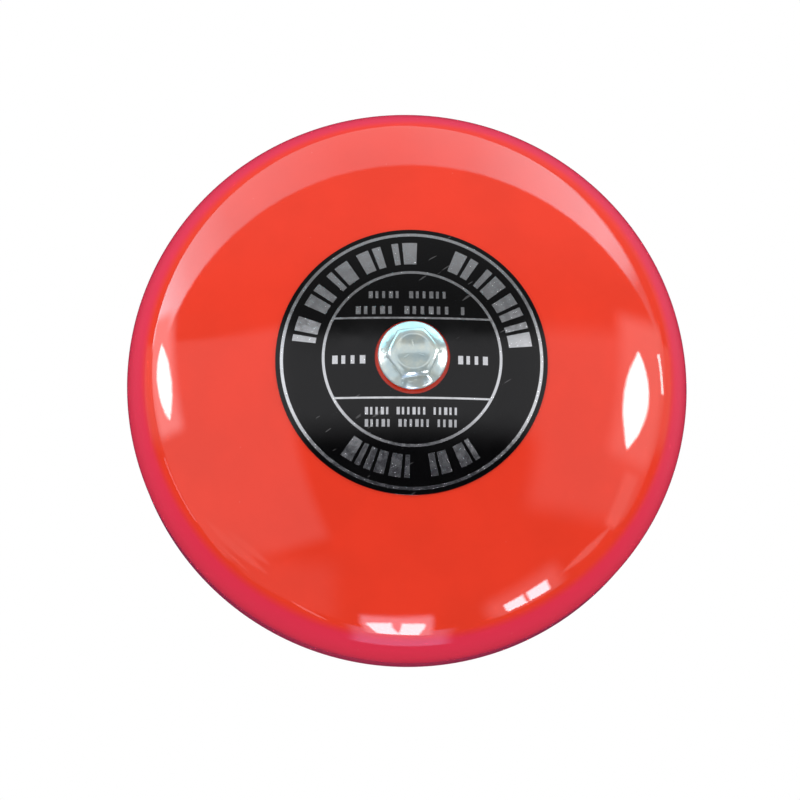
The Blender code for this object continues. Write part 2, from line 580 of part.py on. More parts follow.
def make_chassis():
    profile = [(CHASSIS_RADIUS, CHASSIS_TOP), (CHASSIS_RADIUS, CHASSIS_BOTTOM), (0, CHASSIS_BOTTOM),
               (0, CHASSIS_TOP)]
    chassis = turned("mechanism_chassis", profile, CAST_ALLOY, wall)
    bosses = bmesh.new()
    holes = bmesh.new()
    for degrees in PLATE_SCREW_ANGLES:
        add_cylinder(bosses, PLATE_BOSS_RADIUS, polar(PLATE_BOSS_CIRCLE, degrees, CHASSIS_BOSS_ROOT),
                     polar(PLATE_BOSS_CIRCLE, degrees, PLATE_BOSS_TOP), HOLE_STEPS)
        add_cylinder(holes, PLATE_SCREW_BORE, polar(PLATE_BOSS_CIRCLE, degrees, CHASSIS_BOTTOM - CUT_PAST),
                     polar(PLATE_BOSS_CIRCLE, degrees, PLATE_BOSS_TOP - 1 * MM), HOLE_STEPS)
    for side in (-1, 1):
        board = (side * BOARD_SCREW_X, BOARD_CENTRE.y)
        add_cylinder(bosses, BOARD_BOSS_RADIUS, (*board, CHASSIS_BOSS_ROOT), (*board, BOARD_BOTTOM - GAP),
                     HOLE_STEPS)
        add_cylinder(holes, M2_5_BORE, (*board, CHASSIS_BOSS_ROOT), (*board, BOARD_TOP), HOLE_STEPS)
        clamp = (CLAMP_X, MOTOR_Y + side * CLAMP_SCREW_Y)
        add_cylinder(bosses, CLAMP_BOSS_RADIUS, (*clamp, CHASSIS_BOSS_ROOT), (*clamp, CLAMP_FOOT_Z - GAP),
                     HOLE_STEPS)
        add_cylinder(holes, M2_5_BORE, (*clamp, CHASSIS_BOSS_ROOT), (*clamp, CLAMP_FOOT_Z + CUT_PAST),
                     HOLE_STEPS)
    combine(chassis, bosses, "UNION", wall)
    cradle = bmesh.new()
    inset = 2 * MM
    add_box(cradle, (MOTOR_FRONT + inset, MOTOR_Y - CRADLE_HALF_WIDTH, CHASSIS_BOSS_ROOT),
            (MOTOR_REAR - inset, MOTOR_Y + CRADLE_HALF_WIDTH, CRADLE_TOP))
    combine(chassis, cradle, "UNION", wall)
    below, above = CHASSIS_BOTTOM - CUT_PAST, CHASSIS_TOP + CUT_PAST
    add_cylinder(holes, GROMMET_FLANGE_RADIUS + 2 * GAP, (*CABLE_HOLE, below), (*CABLE_HOLE, above))
    add_cylinder(holes, PILLAR_SCREW_RADIUS + GAP, (0, 0, below), (0, 0, above))
    for degrees in COVER_SCREW_ANGLES:
        add_cylinder(holes, COVER_BOSS_RADIUS + 2 * GAP, polar(COVER_BOSS_CIRCLE, degrees, below),
                     polar(COVER_BOSS_CIRCLE, degrees, above))
    combine(chassis, holes, "DIFFERENCE", wall)
    saddle = bmesh.new()
    add_cylinder(saddle, MOTOR_RADIUS + GAP, (MOTOR_FRONT, MOTOR_Y, MOTOR_Z), (MOTOR_REAR, MOTOR_Y, MOTOR_Z),
                 FINE_STEPS)
    combine(chassis, saddle, "DIFFERENCE", wall)


def make_grommet():
    """A rubber entry in the floor's cable hole, with a flange inside the housing."""
    bottom, top, flange = 0.6 * MM, HOUSING_FLOOR + 2.4 * MM, HOUSING_FLOOR + GAP
    outer, brim, bore = CABLE_HOLE_RADIUS - GAP, GROMMET_FLANGE_RADIUS, 2.6 * MM
    profile = [(outer, top), (brim, top - 0.5 * MM), (brim, flange), (outer, flange), (outer, bottom),
               (bore, bottom), (bore, top - 1 * MM), (bore + 0.8 * MM, top)]
    turned("cable_grommet", profile, RUBBER, wall, SMALL_STEPS, location=(*CABLE_HOLE, 0))


def make_cover():
    profile = [(COVER_RADIUS - COVER_CHAMFER, COVER_TOP), (COVER_RADIUS, COVER_TOP - COVER_CHAMFER),
               (COVER_RADIUS, COVER_LIP_BOTTOM), (COVER_INNER, COVER_LIP_BOTTOM), (COVER_INNER, COVER_BOTTOM),
               (COVER_HOLE, COVER_BOTTOM), (COVER_HOLE, COLLAR_TOP),
               (COLLAR_RADIUS - COLLAR_CHAMFER, COLLAR_TOP), (COLLAR_RADIUS, COLLAR_TOP - COLLAR_CHAMFER),
               (COLLAR_RADIUS, COVER_TOP)]
    cover = turned("mechanism_cover", profile, BLACK_PLASTIC, wall)
    holes = bmesh.new()
    for number, degrees in enumerate(COVER_SCREW_ANGLES, 1):
        add_cylinder(holes, M3_BORE, polar(COVER_BOSS_CIRCLE, degrees, COVER_BOTTOM - CUT_PAST),
                     polar(COVER_BOSS_CIRCLE, degrees, COVER_TOP + CUT_PAST), HOLE_STEPS)
        seat = polar(COVER_BOSS_CIRCLE, degrees, COVER_TOP + GAP)
        pan_head_screw(f"cover_screw_{number}", M3, seat, 13 * MM, wall)
    combine(cover, holes, "DIFFERENCE", wall)
    gasket = HOUSING_TOP + GAP
    ring("cover_gasket", HOUSING_INNER + COVER_GASKET_INSET, HOUSING_RADIUS - COVER_GASKET_INSET, gasket,
         gasket + COVER_GASKET_THICKNESS, RUBBER, HIDDEN_STEPS)


# ---------------------------------------------------------------- motor

def along_motor(name, profile, material, steps=FINE_STEPS):
    """A piece turned about the motor's axis, its heights measured along x."""
    turned(name, profile, material, motor_axis, steps, rotation=ALONG_MOTOR)


def motor_tube(name, outer, inner, start, end, material, steps=FINE_STEPS):
    along_motor(name, [(outer, end), (outer, start), (inner, start), (inner, end)], material, steps)


def make_motor():
    chamfer, nose = 0.5 * MM, MOTOR_FRONT + MOTOR_CAN_WALL
    along_motor("motor_can", [(MOTOR_RADIUS, MOTOR_REAR), (MOTOR_RADIUS, MOTOR_FRONT + chamfer),
                              (MOTOR_RADIUS - chamfer, MOTOR_FRONT), (MOTOR_NOSE_BORE, MOTOR_FRONT),
                              (MOTOR_NOSE_BORE, nose), (MOTOR_INNER, nose), (MOTOR_INNER, MOTOR_REAR)], STEEL)
    motor_tube("motor_magnet_ring", MOTOR_INNER - GAP, MAGNET_BORE, 10.5 * MM, 25 * MM, FERRITE)
    motor_tube("motor_front_bearing", MOTOR_NOSE_BORE - GAP, SHAFT_BORE, 5.2 * MM, 9.4 * MM, BRASS,
               SMALL_STEPS)
    seat, plug, plug_end = MOTOR_REAR + GAP, MOTOR_INNER - GAP, 25.5 * MM
    face, nose, bore_end = seat + 2 * MM, seat + 2.7 * MM, SHAFT_END + 0.4 * MM
    along_motor("motor_end_cap", [(0, nose), (3 * MM, nose), (3.6 * MM, face), (MOTOR_RADIUS, face),
                                  (MOTOR_RADIUS, seat), (plug, seat), (plug, plug_end),
                                  (SHAFT_BORE, plug_end), (SHAFT_BORE, bore_end), (0, bore_end)], NYLON)
    for end, side in (("positive", 1), ("negative", -1)):
        z, half = side * TERMINAL_OFFSET, 1.4 * MM
        tab = face + GAP
        boxed(f"motor_terminal_{end}", (tab, -half, z - GAP), (tab + 2 * half, half, z + GAP), BRASS,
              motor_axis)
    for end, side in (("upper", 1), ("lower", -1)):
        near, far = sorted((side * (COMMUTATOR_RADIUS + GAP), side * (MAGNET_BORE - 0.7 * MM)))
        start, half = 22.1 * MM, 0.8 * MM
        boxed(f"motor_brush_{end}", (start, -half, near), (start + 2 * half, half, far), FERRITE, motor_axis)


def make_rotor():
    along_motor("motor_shaft", [(0, SHAFT_END), (SHAFT_RADIUS, SHAFT_END), (SHAFT_RADIUS, SHAFT_START),
                                (0, SHAFT_START)], STEEL, SMALL_STEPS)
    outline = []
    for pole in (0, 120, 240):
        outline += [polar(ARMATURE_RADIUS, pole + degrees) for degrees in (-48, -24, 0, 24, 48)]
        outline += [polar(ARMATURE_SLOT_RADIUS, pole + degrees) for degrees in (52, 68)]
    stack = bmesh.new()
    add_prism(stack, outline, (0, 0, ARMATURE_LENGTH))
    armature = solid("motor_armature", stack, COPPER, motor_axis, (ARMATURE_START, 0, 0), ALONG_MOTOR)
    bore = bmesh.new()
    add_cylinder(bore, SHAFT_BORE, (ARMATURE_START - CUT_PAST, 0, 0),
                 (ARMATURE_START + ARMATURE_LENGTH + CUT_PAST, 0, 0))
    combine(armature, bore, "DIFFERENCE", motor_axis)
    motor_tube("motor_commutator", COMMUTATOR_RADIUS, SHAFT_BORE, 21.2 * MM, 24.6 * MM, COPPER, SMALL_STEPS)


def make_cam():
    """An eccentric disc that points at the striker at rest, with a hub for its set screw."""
    half = CAM_WIDTH / 2
    cam = rod("drive_cam", CAM_RADIUS, (-half, -CAM_THROW, 0), (half, -CAM_THROW, 0), NYLON, motor_axis,
              FINE_STEPS)
    hub = bmesh.new()
    add_cylinder(hub, CAM_HUB_RADIUS, (0, 0, 0), (CAM_HUB_END, 0, 0))
    combine(cam, hub, "UNION", motor_axis)
    bore = bmesh.new()
    add_cylinder(bore, SHAFT_BORE, (-half - CUT_PAST, 0, 0), (CAM_HUB_END + CUT_PAST, 0, 0))
    combine(cam, bore, "DIFFERENCE", motor_axis)
    thread = bmesh.new()
    add_cylinder(thread, SET_SCREW_RADIUS + GAP, (SET_SCREW_X, 0, SHAFT_RADIUS / 2),
                 (SET_SCREW_X, 0, CAM_HUB_RADIUS + CUT_PAST), HOLE_STEPS)
    combine(cam, thread, "DIFFERENCE", motor_axis)
    rod("cam_set_screw", SET_SCREW_RADIUS, (SET_SCREW_X, 0, SHAFT_BORE),
        (SET_SCREW_X, 0, CAM_HUB_RADIUS - 0.2 * MM), STEEL, motor_axis, HOLE_STEPS)


def make_clamp():
    """A strap over the motor with a foot on each side, drawn in the plane across the motor."""
    outer = [polar(CLAMP_OUTER, degrees) for degrees in range(0, 181, 15)]
    inner = [polar(CLAMP_INNER, degrees) for degrees in range(180, -1, -15)]
    low = CLAMP_FOOT_Z - MOTOR_Z
    high = low + CLAMP_THICKNESS
    foot = [Vector((CLAMP_INNER, low, 0)), Vector((CLAMP_FOOT_REACH, low, 0)),
            Vector((CLAMP_FOOT_REACH, high, 0)), Vector((CLAMP_OUTER, high, 0))]
    far_foot = [Vector((-point.x, point.y, 0)) for point in reversed(foot)]
    outline = foot + outer + far_foot + inner
    strap = bmesh.new()
    start = CLAMP_X - CLAMP_WIDTH / 2
    add_prism(strap, [(start, point.x, point.y) for point in outline], (CLAMP_WIDTH, 0, 0))
    clamp = solid("motor_clamp", strap, STEEL, motor_axis)
    holes = bmesh.new()
    for number, side in ((1, 1), (2, -1)):
        y = side * CLAMP_SCREW_Y
        add_cylinder(holes, M2_5_BORE, (CLAMP_X, y, low - CUT_PAST), (CLAMP_X, y, high + CUT_PAST),
                     HOLE_STEPS)
        seat = (CLAMP_X, MOTOR_Y + y, CLAMP_FOOT_Z + CLAMP_THICKNESS + GAP)
        pan_head_screw(f"motor_clamp_screw_{number}", M2_5, seat, 7 * MM, wall)
    combine(clamp, holes, "DIFFERENCE", motor_axis)


# ---------------------------------------------------------------- striker

def along_strike(name, profile, material):
    """A piece turned about the striker's axis, its heights measured towards the skirt."""
    turned(name, profile, material, striker_axis, SMALL_STEPS, rotation=ALONG_STRIKE)


def make_striker():
    head, outer = -HAMMER_INNER_END, -HAMMER_OUTER_END
    tail, tail_end, neck_end = -STRIKER_TOP, TAIL_LENGTH - STRIKER_TOP, head - 0.6 * MM
    neck, tip = HAMMER_SOCKET_RADIUS - GAP, head + HAMMER_SOCKET_DEPTH - GAP
    round_off = 0.7 * MM
    along_strike("striker_rod", [(0, tip), (neck, tip), (neck, neck_end), (ROD_RADIUS, neck_end),
                                 (ROD_RADIUS, tail_end), (TAIL_RADIUS, tail_end),
                                 (TAIL_RADIUS, tail + round_off), (TAIL_RADIUS - round_off, tail),
                                 (0, tail)], STEEL)
    collar, collar_end = -STRIKER_COLLAR_TOP, STRIKER_COLLAR_THICKNESS - STRIKER_COLLAR_TOP
    along_strike("striker_collar", [(STRIKER_COLLAR_RADIUS, collar_end), (STRIKER_COLLAR_RADIUS, collar),
                                    (ROD_BORE, collar), (ROD_BORE, collar_end)], ZINC)
    crown = [(HAMMER_RADIUS * sin(angle), outer - HAMMER_CROWN * (1 - cos(angle)))
             for angle in (pi / 6, pi / 3, pi / 2)]
    socket = (HAMMER_SOCKET_RADIUS, head + HAMMER_SOCKET_DEPTH)
    along_strike("hammer_head", [(0, outer), *crown, (HAMMER_RADIUS, head + round_off),
                                 (HAMMER_RADIUS - round_off, head), (HAMMER_SOCKET_RADIUS, head), socket,
                                 (0, socket[1])], NYLON)


def make_bush():
    start, end = -BUSH_INNER_END, -BUSH_OUTER_END
    flange_end = start + BUSH_FLANGE_THICKNESS
    along_strike("striker_bush", [(BUSH_RADIUS, end), (BUSH_RADIUS, flange_end),
                                  (BUSH_FLANGE_RADIUS, flange_end), (BUSH_FLANGE_RADIUS, start),
                                  (ROD_BORE, start), (ROD_BORE, end)], BRASS)
    seal, brim, lip = end + GAP, end + GAP + 0.4 * MM, end + GAP + 1.4 * MM
    along_strike("striker_seal", [(4.2 * MM, lip), (5.6 * MM, brim), (5.6 * MM, seal), (ROD_BORE, seal),
                                  (ROD_BORE, lip)], RUBBER)


def make_spring():
    """A coil round the rod, from the collar to the bush."""
    turns = SPRING_COILS * SPRING_STEPS_PER_COIL
    top, bottom = SPRING_TOP - SPRING_WIRE_RADIUS, SPRING_BOTTOM + SPRING_WIRE_RADIUS
    path = []
    for k in range(turns + 1):
        across = polar(SPRING_RADIUS, 360 * k / SPRING_STEPS_PER_COIL)
        path.append(Vector((across.x, top + (bottom - top) * k / turns, across.y)))
    tube("striker_return_spring", path, SPRING_WIRE_RADIUS, STEEL, striker_axis)


# ---------------------------------------------------------------- electrics

def make_board():
    half_size = BOARD_SIZE / 2
    board = boxed("circuit_board", BOARD_CENTRE - half_size, BOARD_CENTRE + half_size, BOARD_GREEN, wall)
    holes = bmesh.new()
    for number, side in ((1, -1), (2, 1)):
        place = (side * BOARD_SCREW_X, BOARD_CENTRE.y)
        add_cylinder(holes, M2_5_BORE, (*place, BOARD_BOTTOM - CUT_PAST), (*place, BOARD_TOP + CUT_PAST),
                     HOLE_STEPS)
        pan_head_screw(f"board_screw_{number}", M2_5, (*place, PART_SEAT), 4.5 * MM, wall)
    combine(board, holes, "DIFFERENCE", wall)
    sleeve = mm((0, 11), (2.9, 11), (3.4, 10.4), (3.4, 1.2), (3.1, 0.8), (3.4, 0.4), (3.1, 0), (0, 0))
    turned("suppression_capacitor", sleeve, CAPACITOR_SLEEVE, wall, SMALL_STEPS,
           location=(6 * MM, 29.5 * MM, PART_SEAT))
    diode_radius, diode_y = 1.4 * MM, 20 * MM
    diode_z = PART_SEAT + diode_radius
    rod("polarity_diode", diode_radius, (2.5 * MM, diode_y, diode_z), (8 * MM, diode_y, diode_z),
        BLACK_PLASTIC, wall)


def make_terminals():
    """A two-way terminal block with a screw well and a wire entry for each pole."""
    low = Vector((-10.5 * MM, 20.5 * MM, PART_SEAT))
    high = low + Vector((10 * MM, 8 * MM, 9 * MM))
    block = boxed("terminal_block", low, high, TERMINAL_GREEN, wall)
    well_radius, entry_half = 1.9 * MM, 1.3 * MM
    well_floor, entry_low, entry_high = low.z + 3.2 * MM, low.z + 0.8 * MM, low.z + 3 * MM
    y = low.y + 4.2 * MM
    wells = bmesh.new()
    for number, x in ((1, low.x + 2.6 * MM), (2, low.x + 7.4 * MM)):
        add_cylinder(wells, well_radius, (x, y, well_floor), (x, y, high.z + CUT_PAST))
        add_box(wells, (x - entry_half, low.y - CUT_PAST, entry_low),
                (x + entry_half, y - 0.8 * MM, entry_high))
        screw_top = high.z - 0.8 * MM
        pin = rod(f"terminal_screw_{number}", well_radius - 0.4 * MM, (x, y, well_floor + GAP),
                  (x, y, screw_top), BRASS, wall)
        slot = bmesh.new()
        add_box(slot, (x - well_radius, y - GAP, screw_top - 0.7 * MM), (x + well_radius, y + GAP, high.z))
        combine(pin, slot, "DIFFERENCE", wall)
    combine(block, wells, "DIFFERENCE", wall)


def make_leads():
    """Two wires from the board, round the pillar, to the motor's terminals."""
    reach = 33.8 * MM
    poles = (("positive", 1, 18.6 * MM, WIRE_RED), ("negative", -1, 21.8 * MM, WIRE_BLACK))
    for end, side, board_y, material in poles:
        z = MOTOR_Z + side * TERMINAL_OFFSET
        step = side * 1 * MM
        path = smooth_path([(reach, MOTOR_Y, z), (reach + 1.2 * MM, MOTOR_Y + 6 * MM, z),
                            (reach - 1 * MM, 0, z - 2 * MM), (27 * MM, 11 * MM, z - 4 * MM),
                            (19.6 * MM, board_y, BOARD_TOP + 3.2 * MM),
                            (15 * MM - step, board_y - step, BOARD_TOP + 1.4 * MM)])
        tube(f"lead_{end}", path, 0.75 * MM, material, wall)


# ---------------------------------------------------------------- assembly

make_gong()
make_bolt()
make_pillar()
make_plate()
make_housing()
make_chassis()
make_grommet()
make_cover()
make_motor()
make_rotor()
make_cam()
make_clamp()
make_striker()
make_bush()
make_spring()
make_board()
make_terminals()
make_leads()
settle()
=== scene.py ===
import json
from math import asin, cos, pi, radians, sin, sqrt, tan

import bmesh
import bpy
from mathutils import Matrix, Vector


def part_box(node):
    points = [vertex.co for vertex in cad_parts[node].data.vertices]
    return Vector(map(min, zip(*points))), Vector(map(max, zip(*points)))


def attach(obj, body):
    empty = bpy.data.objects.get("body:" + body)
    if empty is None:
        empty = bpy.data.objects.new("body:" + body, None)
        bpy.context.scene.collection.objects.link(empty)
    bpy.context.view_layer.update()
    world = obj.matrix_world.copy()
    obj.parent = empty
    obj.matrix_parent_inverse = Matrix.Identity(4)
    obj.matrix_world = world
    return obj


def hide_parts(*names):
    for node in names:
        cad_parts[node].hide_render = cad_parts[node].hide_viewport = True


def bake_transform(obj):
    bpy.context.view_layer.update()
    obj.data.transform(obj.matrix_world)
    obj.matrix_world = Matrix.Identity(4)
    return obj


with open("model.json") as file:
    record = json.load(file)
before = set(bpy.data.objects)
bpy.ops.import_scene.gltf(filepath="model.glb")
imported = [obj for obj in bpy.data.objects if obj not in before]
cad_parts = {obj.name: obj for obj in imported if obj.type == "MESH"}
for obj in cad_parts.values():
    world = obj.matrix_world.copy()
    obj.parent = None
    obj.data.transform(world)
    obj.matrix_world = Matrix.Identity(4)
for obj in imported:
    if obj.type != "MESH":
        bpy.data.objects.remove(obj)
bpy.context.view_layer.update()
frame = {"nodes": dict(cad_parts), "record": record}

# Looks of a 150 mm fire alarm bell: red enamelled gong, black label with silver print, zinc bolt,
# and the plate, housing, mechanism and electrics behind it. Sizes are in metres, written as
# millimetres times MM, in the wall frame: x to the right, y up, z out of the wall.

MM = 0.001
STAND_UP = Matrix.Rotation(pi / 2, 4, "X")     # from the wall frame to the world's
CORNER = radians(38)                           # edges sharper than this show as edges
WELD = 1e-6                                    # points nearer to each other than this are one point
CUT_PAST = 1 * MM                              # how far a cutter runs past the face it cuts
BODY_OF = {node: body for body, nodes in frame["record"]["behaviour"]["bodies"].items() for node in nodes}
SLOT_OF = {entry["node"]: entry["material_slot"] for entry in frame["record"]["subparts"]}


def reach(node):
    """A CAD node's half width, and its nearest and farthest depth off the wall."""
    low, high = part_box(node)
    return (high.x - low.x) / 2, -high.y, -low.y


GONG_RADIUS, RIM_Z = reach("gong")[:2]
LABEL_RADIUS = reach("label_disc")[0]
WASHER_RADIUS, WASHER_BOTTOM, WASHER_TOP = reach("bolt_sealing_washer")
FLANGE_RADIUS, BOLT_TIP, BOLT_TOP = reach("gong_bolt")
PLATE_RADIUS, PLATE_BACK, PLATE_FRONT = reach("mounting_plate")
HOUSING_RADIUS, HOUSING_BACK, HOUSING_TOP = reach("housing")
COVER_RADIUS, COVER_LIP, COLLAR_TOP = reach("mechanism_cover")

GONG_WALL = 1.6 * MM
GONG_HOLE = 4.6 * MM
SHOULDER_RADIUS = 14.65 * MM
CAP_RADIUS = 141.2 * MM
SKIRT_TOP = RIM_Z + 10.7 * MM
SHOULDER_X = GONG_RADIUS - SHOULDER_RADIUS
CAP_CENTRE = SKIRT_TOP - sqrt((CAP_RADIUS - SHOULDER_RADIUS) ** 2 - SHOULDER_X ** 2)
SHOULDER_START = asin(SHOULDER_X / (CAP_RADIUS - SHOULDER_RADIUS))


# ---------------------------------------------------------------- materials

class Nodes:
    """Short calls that add shader nodes to a tree. Most return the new node's output."""

    def __init__(self, tree):
        self.tree = tree

    def node(self, kind, inputs=(), **settings):
        made = self.tree.nodes.new(kind)
        for key, value in settings.items():
            setattr(made, key, value)
        for key, value in dict(inputs).items():
            if isinstance(value, bpy.types.NodeSocket):
                self.tree.links.new(value, made.inputs[key])
            else:
                made.inputs[key].default_value = value
        return made

    def maths(self, operation, a, b=0.0, c=0.0):
        return self.node("ShaderNodeMath", {0: a, 1: b, 2: c}, operation=operation).outputs[0]

    def span(self, value, low, high, to_low=0.0, to_high=1.0):
        """Maps low..high to to_low..to_high with eased ends."""
        made = self.node("ShaderNodeMapRange", {"Value": value, "From Min": low, "From Max": high,
                                                "To Min": to_low, "To Max": to_high},
                         interpolation_type="SMOOTHSTEP")
        return made.outputs["Result"]

    def mixed(self, factor, first, second):
        """The first colour at factor 0 and the second at 1."""
        made = self.node("ShaderNodeMix", {"Factor": factor}, data_type="RGBA")
        for socket, value in (("A_Color", first), ("B_Color", second)):
            target = next(s for s in made.inputs if s.identifier == socket)
            if isinstance(value, bpy.types.NodeSocket):
                self.tree.links.new(value, target)
            else:
                target.default_value = (*value, 1)
        return next(s for s in made.outputs if s.identifier == "Result_Color")


class Surface(Nodes):
    """A Principled material, with calls for the patterns that feed it. Scales are per metre."""

    def __init__(self, name, colour, roughness, metallic=0.0, **sockets):
        self.material = bpy.data.materials.new(name)
        self.material.use_nodes = True
        super().__init__(self.material.node_tree)
        self.shader = self.tree.nodes["Principled BSDF"]
        self.colour = colour
        self.set("Base Color", (*colour, 1))
        self.set("Roughness", roughness)
        self.set("Metallic", metallic)
        for socket, value in sockets.items():
            self.set(socket.replace("_", " "), value)
        self.place = self.node("ShaderNodeTexCoord").outputs["Object"]

    def set(self, socket, value):
        self.shader.inputs[socket].default_value = value

    def stretched(self, factors):
        """The object's coordinates, scaled along each axis."""
        return self.node("ShaderNodeVectorMath", {0: self.place, 1: factors}, operation="MULTIPLY").outputs[0]

    def noise(self, scale, detail=3.0, stretch=None):
        place = self.stretched(stretch) if stretch else self.place
        made = self.node("ShaderNodeTexNoise", {"Vector": place, "Scale": scale, "Detail": detail})
        return made.outputs["Fac"]

    def specks(self, spacing, size, share):
        """Round specks, one in a cell of that spacing, in the given share of the cells."""
        cells = self.node("ShaderNodeTexVoronoi", {"Vector": self.place, "Scale": 1 / spacing})
        near = self.span(cells.outputs["Distance"], size / spacing, 0.4 * size / spacing)
        lot = self.node("ShaderNodeSeparateColor", {"Color": cells.outputs["Color"]}).outputs[0]
        return self.maths("MULTIPLY", near, self.maths("LESS_THAN", lot, share))

    def scratches(self, scale, turn, threshold):
        """Thin lines along one direction, where a strongly stretched noise peaks."""
        turned = self.node("ShaderNodeVectorRotate", {"Vector": self.place, "Angle": turn},
                           rotation_type="Y_AXIS").outputs[0]
        long = self.node("ShaderNodeVectorMath", {0: turned, 1: (0.03, 1, 1)}, operation="MULTIPLY").outputs[0]
        peaks = self.node("ShaderNodeTexNoise", {"Vector": long, "Scale": scale, "Detail": 1.0})
        return self.span(peaks.outputs["Fac"], threshold, threshold + 0.03)

    def radial(self):
        """Distance from the bell's axis."""
        flat = self.stretched((1, 0, 1))
        return self.node("ShaderNodeVectorMath", {0: flat}, operation="LENGTH").outputs["Value"]

    def paint(self, colour):
        self.tree.links.new(colour, self.shader.inputs["Base Color"])

    def roughen(self, value):
        self.tree.links.new(value, self.shader.inputs["Roughness"])

    def emboss(self, height, distance, coat=False):
        """Feeds height, from 0 to 1, to the normal as relief of that depth."""
        bump = self.node("ShaderNodeBump", {"Height": height, "Distance": distance, "Strength": 1.0})
        self.tree.links.new(bump.outputs["Normal"], self.shader.inputs["Normal"])
        if coat:
            self.tree.links.new(bump.outputs["Normal"], self.shader.inputs["Coat Normal"])

    def mottle(self, share, scale):
        """The base colour, darkened and lightened by that share in soft patches."""
        dark = tuple(c * (1 - share) for c in self.colour)
        light = tuple(min(1, c * (1 + share)) for c in self.colour)
        return self.mixed(self.span(self.noise(scale), 0.3, 0.7), dark, light)


def red_enamel():
    """Glossy stoved enamel: faint orange peel, dust under the coat, and a painted reflection: a cooler, bluer
    red towards the rim.
    """
    made = Surface("red_enamel", (0.79, 0.041, 0.016), 0.5, Specular_IOR_Level=0.05, Coat_Weight=1.0,
                   Coat_Roughness=0.015, Coat_IOR=1.5)
    # Painted reflection: towards the rim the red is painted cooler and bluer, standing in for the bluish
    # surroundings that the steep skirt mirrors.
    rim = made.span(made.radial(), GONG_RADIUS - 6.5 * MM, GONG_RADIUS - 4 * MM)
    body = made.mixed(rim, made.mottle(0.03, 60), (0.74, 0.026, 0.060))
    dust = made.specks(2.2 * MM, 0.11 * MM, 0.10)
    made.paint(made.mixed(made.maths("MULTIPLY", dust, 0.6), body, (0.95, 0.45, 0.4)))
    peel = made.maths("ADD", made.noise(420, 2), made.maths("MULTIPLY", dust, 0.6))
    made.emboss(peel, 0.003 * MM, coat=True)
    made.roughen(made.span(made.noise(90), 0.2, 0.8, 0.42, 0.58))
    return made


def label_black():
    """Printed gloss film with a trace of dust and a few hairline scratches."""
    made = Surface("label_black", (0.0010, 0.0010, 0.0011), 0.1, Specular_IOR_Level=0.5)
    dust = made.specks(1.6 * MM, 0.07 * MM, 0.14)
    hair = made.maths("MULTIPLY", made.scratches(900, 0.6, 0.74), 0.35)
    marks = made.maths("MAXIMUM", made.maths("MULTIPLY", dust, 0.5), hair)
    made.paint(made.mixed(marks, made.mottle(0.25, 80), (0.16, 0.16, 0.165)))
    made.roughen(made.span(made.noise(140), 0.3, 0.7, 0.07, 0.15))
    made.emboss(made.noise(300, 2), 0.002 * MM)
    return made


def silver_foil():
    """Hot-stamped foil of the print: bright, slightly broken up."""
    made = Surface("silver_foil", (0.90, 0.91, 0.92), 0.16, 1.0)
    worn = made.span(made.noise(1500, 4), 0.66, 0.76)
    made.paint(made.mixed(worn, made.mottle(0.04, 400), (0.5, 0.51, 0.53)))
    made.roughen(made.span(made.noise(700), 0.3, 0.7, 0.12, 0.22))
    made.emboss(made.noise(2500, 2), 0.003 * MM)
    return made


def zinc_plate():
    """Pale zinc with a faint blue and yellow passivation and a crystalline mottle."""
    made = Surface("zinc_plate", (0.68, 0.78, 0.77), 0.2, 0.5)
    tint = made.mixed(made.span(made.noise(260), 0.35, 0.65), (0.54, 0.67, 0.70), (0.72, 0.78, 0.71))
    spangle = made.node("ShaderNodeTexVoronoi", {"Vector": made.place, "Scale": 1800}).outputs["Distance"]
    body = made.mixed(made.span(spangle, 0.2, 0.9, 0.0, 0.3), tint, (0.50, 0.62, 0.66))
    nicks = made.specks(1.4 * MM, 0.10 * MM, 0.10)
    made.paint(made.mixed(nicks, body, (0.42, 0.48, 0.50)))
    made.roughen(made.span(made.noise(900), 0.3, 0.7, 0.10, 0.18))
    made.emboss(made.maths("SUBTRACT", made.noise(1100, 2), made.maths("MULTIPLY", nicks, 0.6)), 0.012 * MM)
    return made


def bright_steel():
    """Drawn steel with fine lines and slight staining."""
    made = Surface("bright_steel", (0.60, 0.60, 0.60), 0.28, 1.0)
    made.paint(made.mottle(0.10, 180))
    lines = made.noise(900, 2, (1, 1, 0.05))
    made.roughen(made.span(lines, 0.3, 0.7, 0.2, 0.38))
    made.emboss(lines, 0.006 * MM)
    return made


def cast_alloy():
    """Pressure-cast aluminium: grey, grainy, with darker flow marks and small pits."""
    made = Surface("cast_alloy", (0.34, 0.35, 0.36), 0.5, 0.25)
    flow = made.mixed(made.span(made.noise(45, 4), 0.42, 0.62), made.mottle(0.08, 300), (0.29, 0.30, 0.31))
    pits = made.specks(1.9 * MM, 0.16 * MM, 0.2)
    made.paint(made.mixed(pits, flow, (0.16, 0.165, 0.17)))
    made.roughen(made.span(made.noise(500), 0.3, 0.7, 0.38, 0.56))
    made.emboss(made.maths("SUBTRACT", made.noise(1300, 4), pits), 0.03 * MM)
    return made


def moulded(name, colour, roughness, grain=0.012):
    """Moulded plastic with a fine spark-eroded grain."""
    made = Surface(name, colour, roughness)
    made.paint(made.mottle(0.12, 150))
    made.roughen(made.span(made.noise(600), 0.3, 0.7, roughness * 0.85, min(1, roughness * 1.2)))
    made.emboss(made.noise(2600, 3), grain * MM)
    return made


def black_rubber():
    """Dull rubber, greyed by a little talc."""
    made = Surface("black_rubber", (0.018, 0.018, 0.018), 0.75, Specular_IOR_Level=0.3)
    made.paint(made.mixed(made.span(made.noise(400, 4), 0.5, 0.75), made.colour, (0.06, 0.06, 0.058)))
    made.roughen(made.span(made.noise(800), 0.3, 0.7, 0.62, 0.88))
    made.emboss(made.noise(1700, 3), 0.02 * MM)
    return made


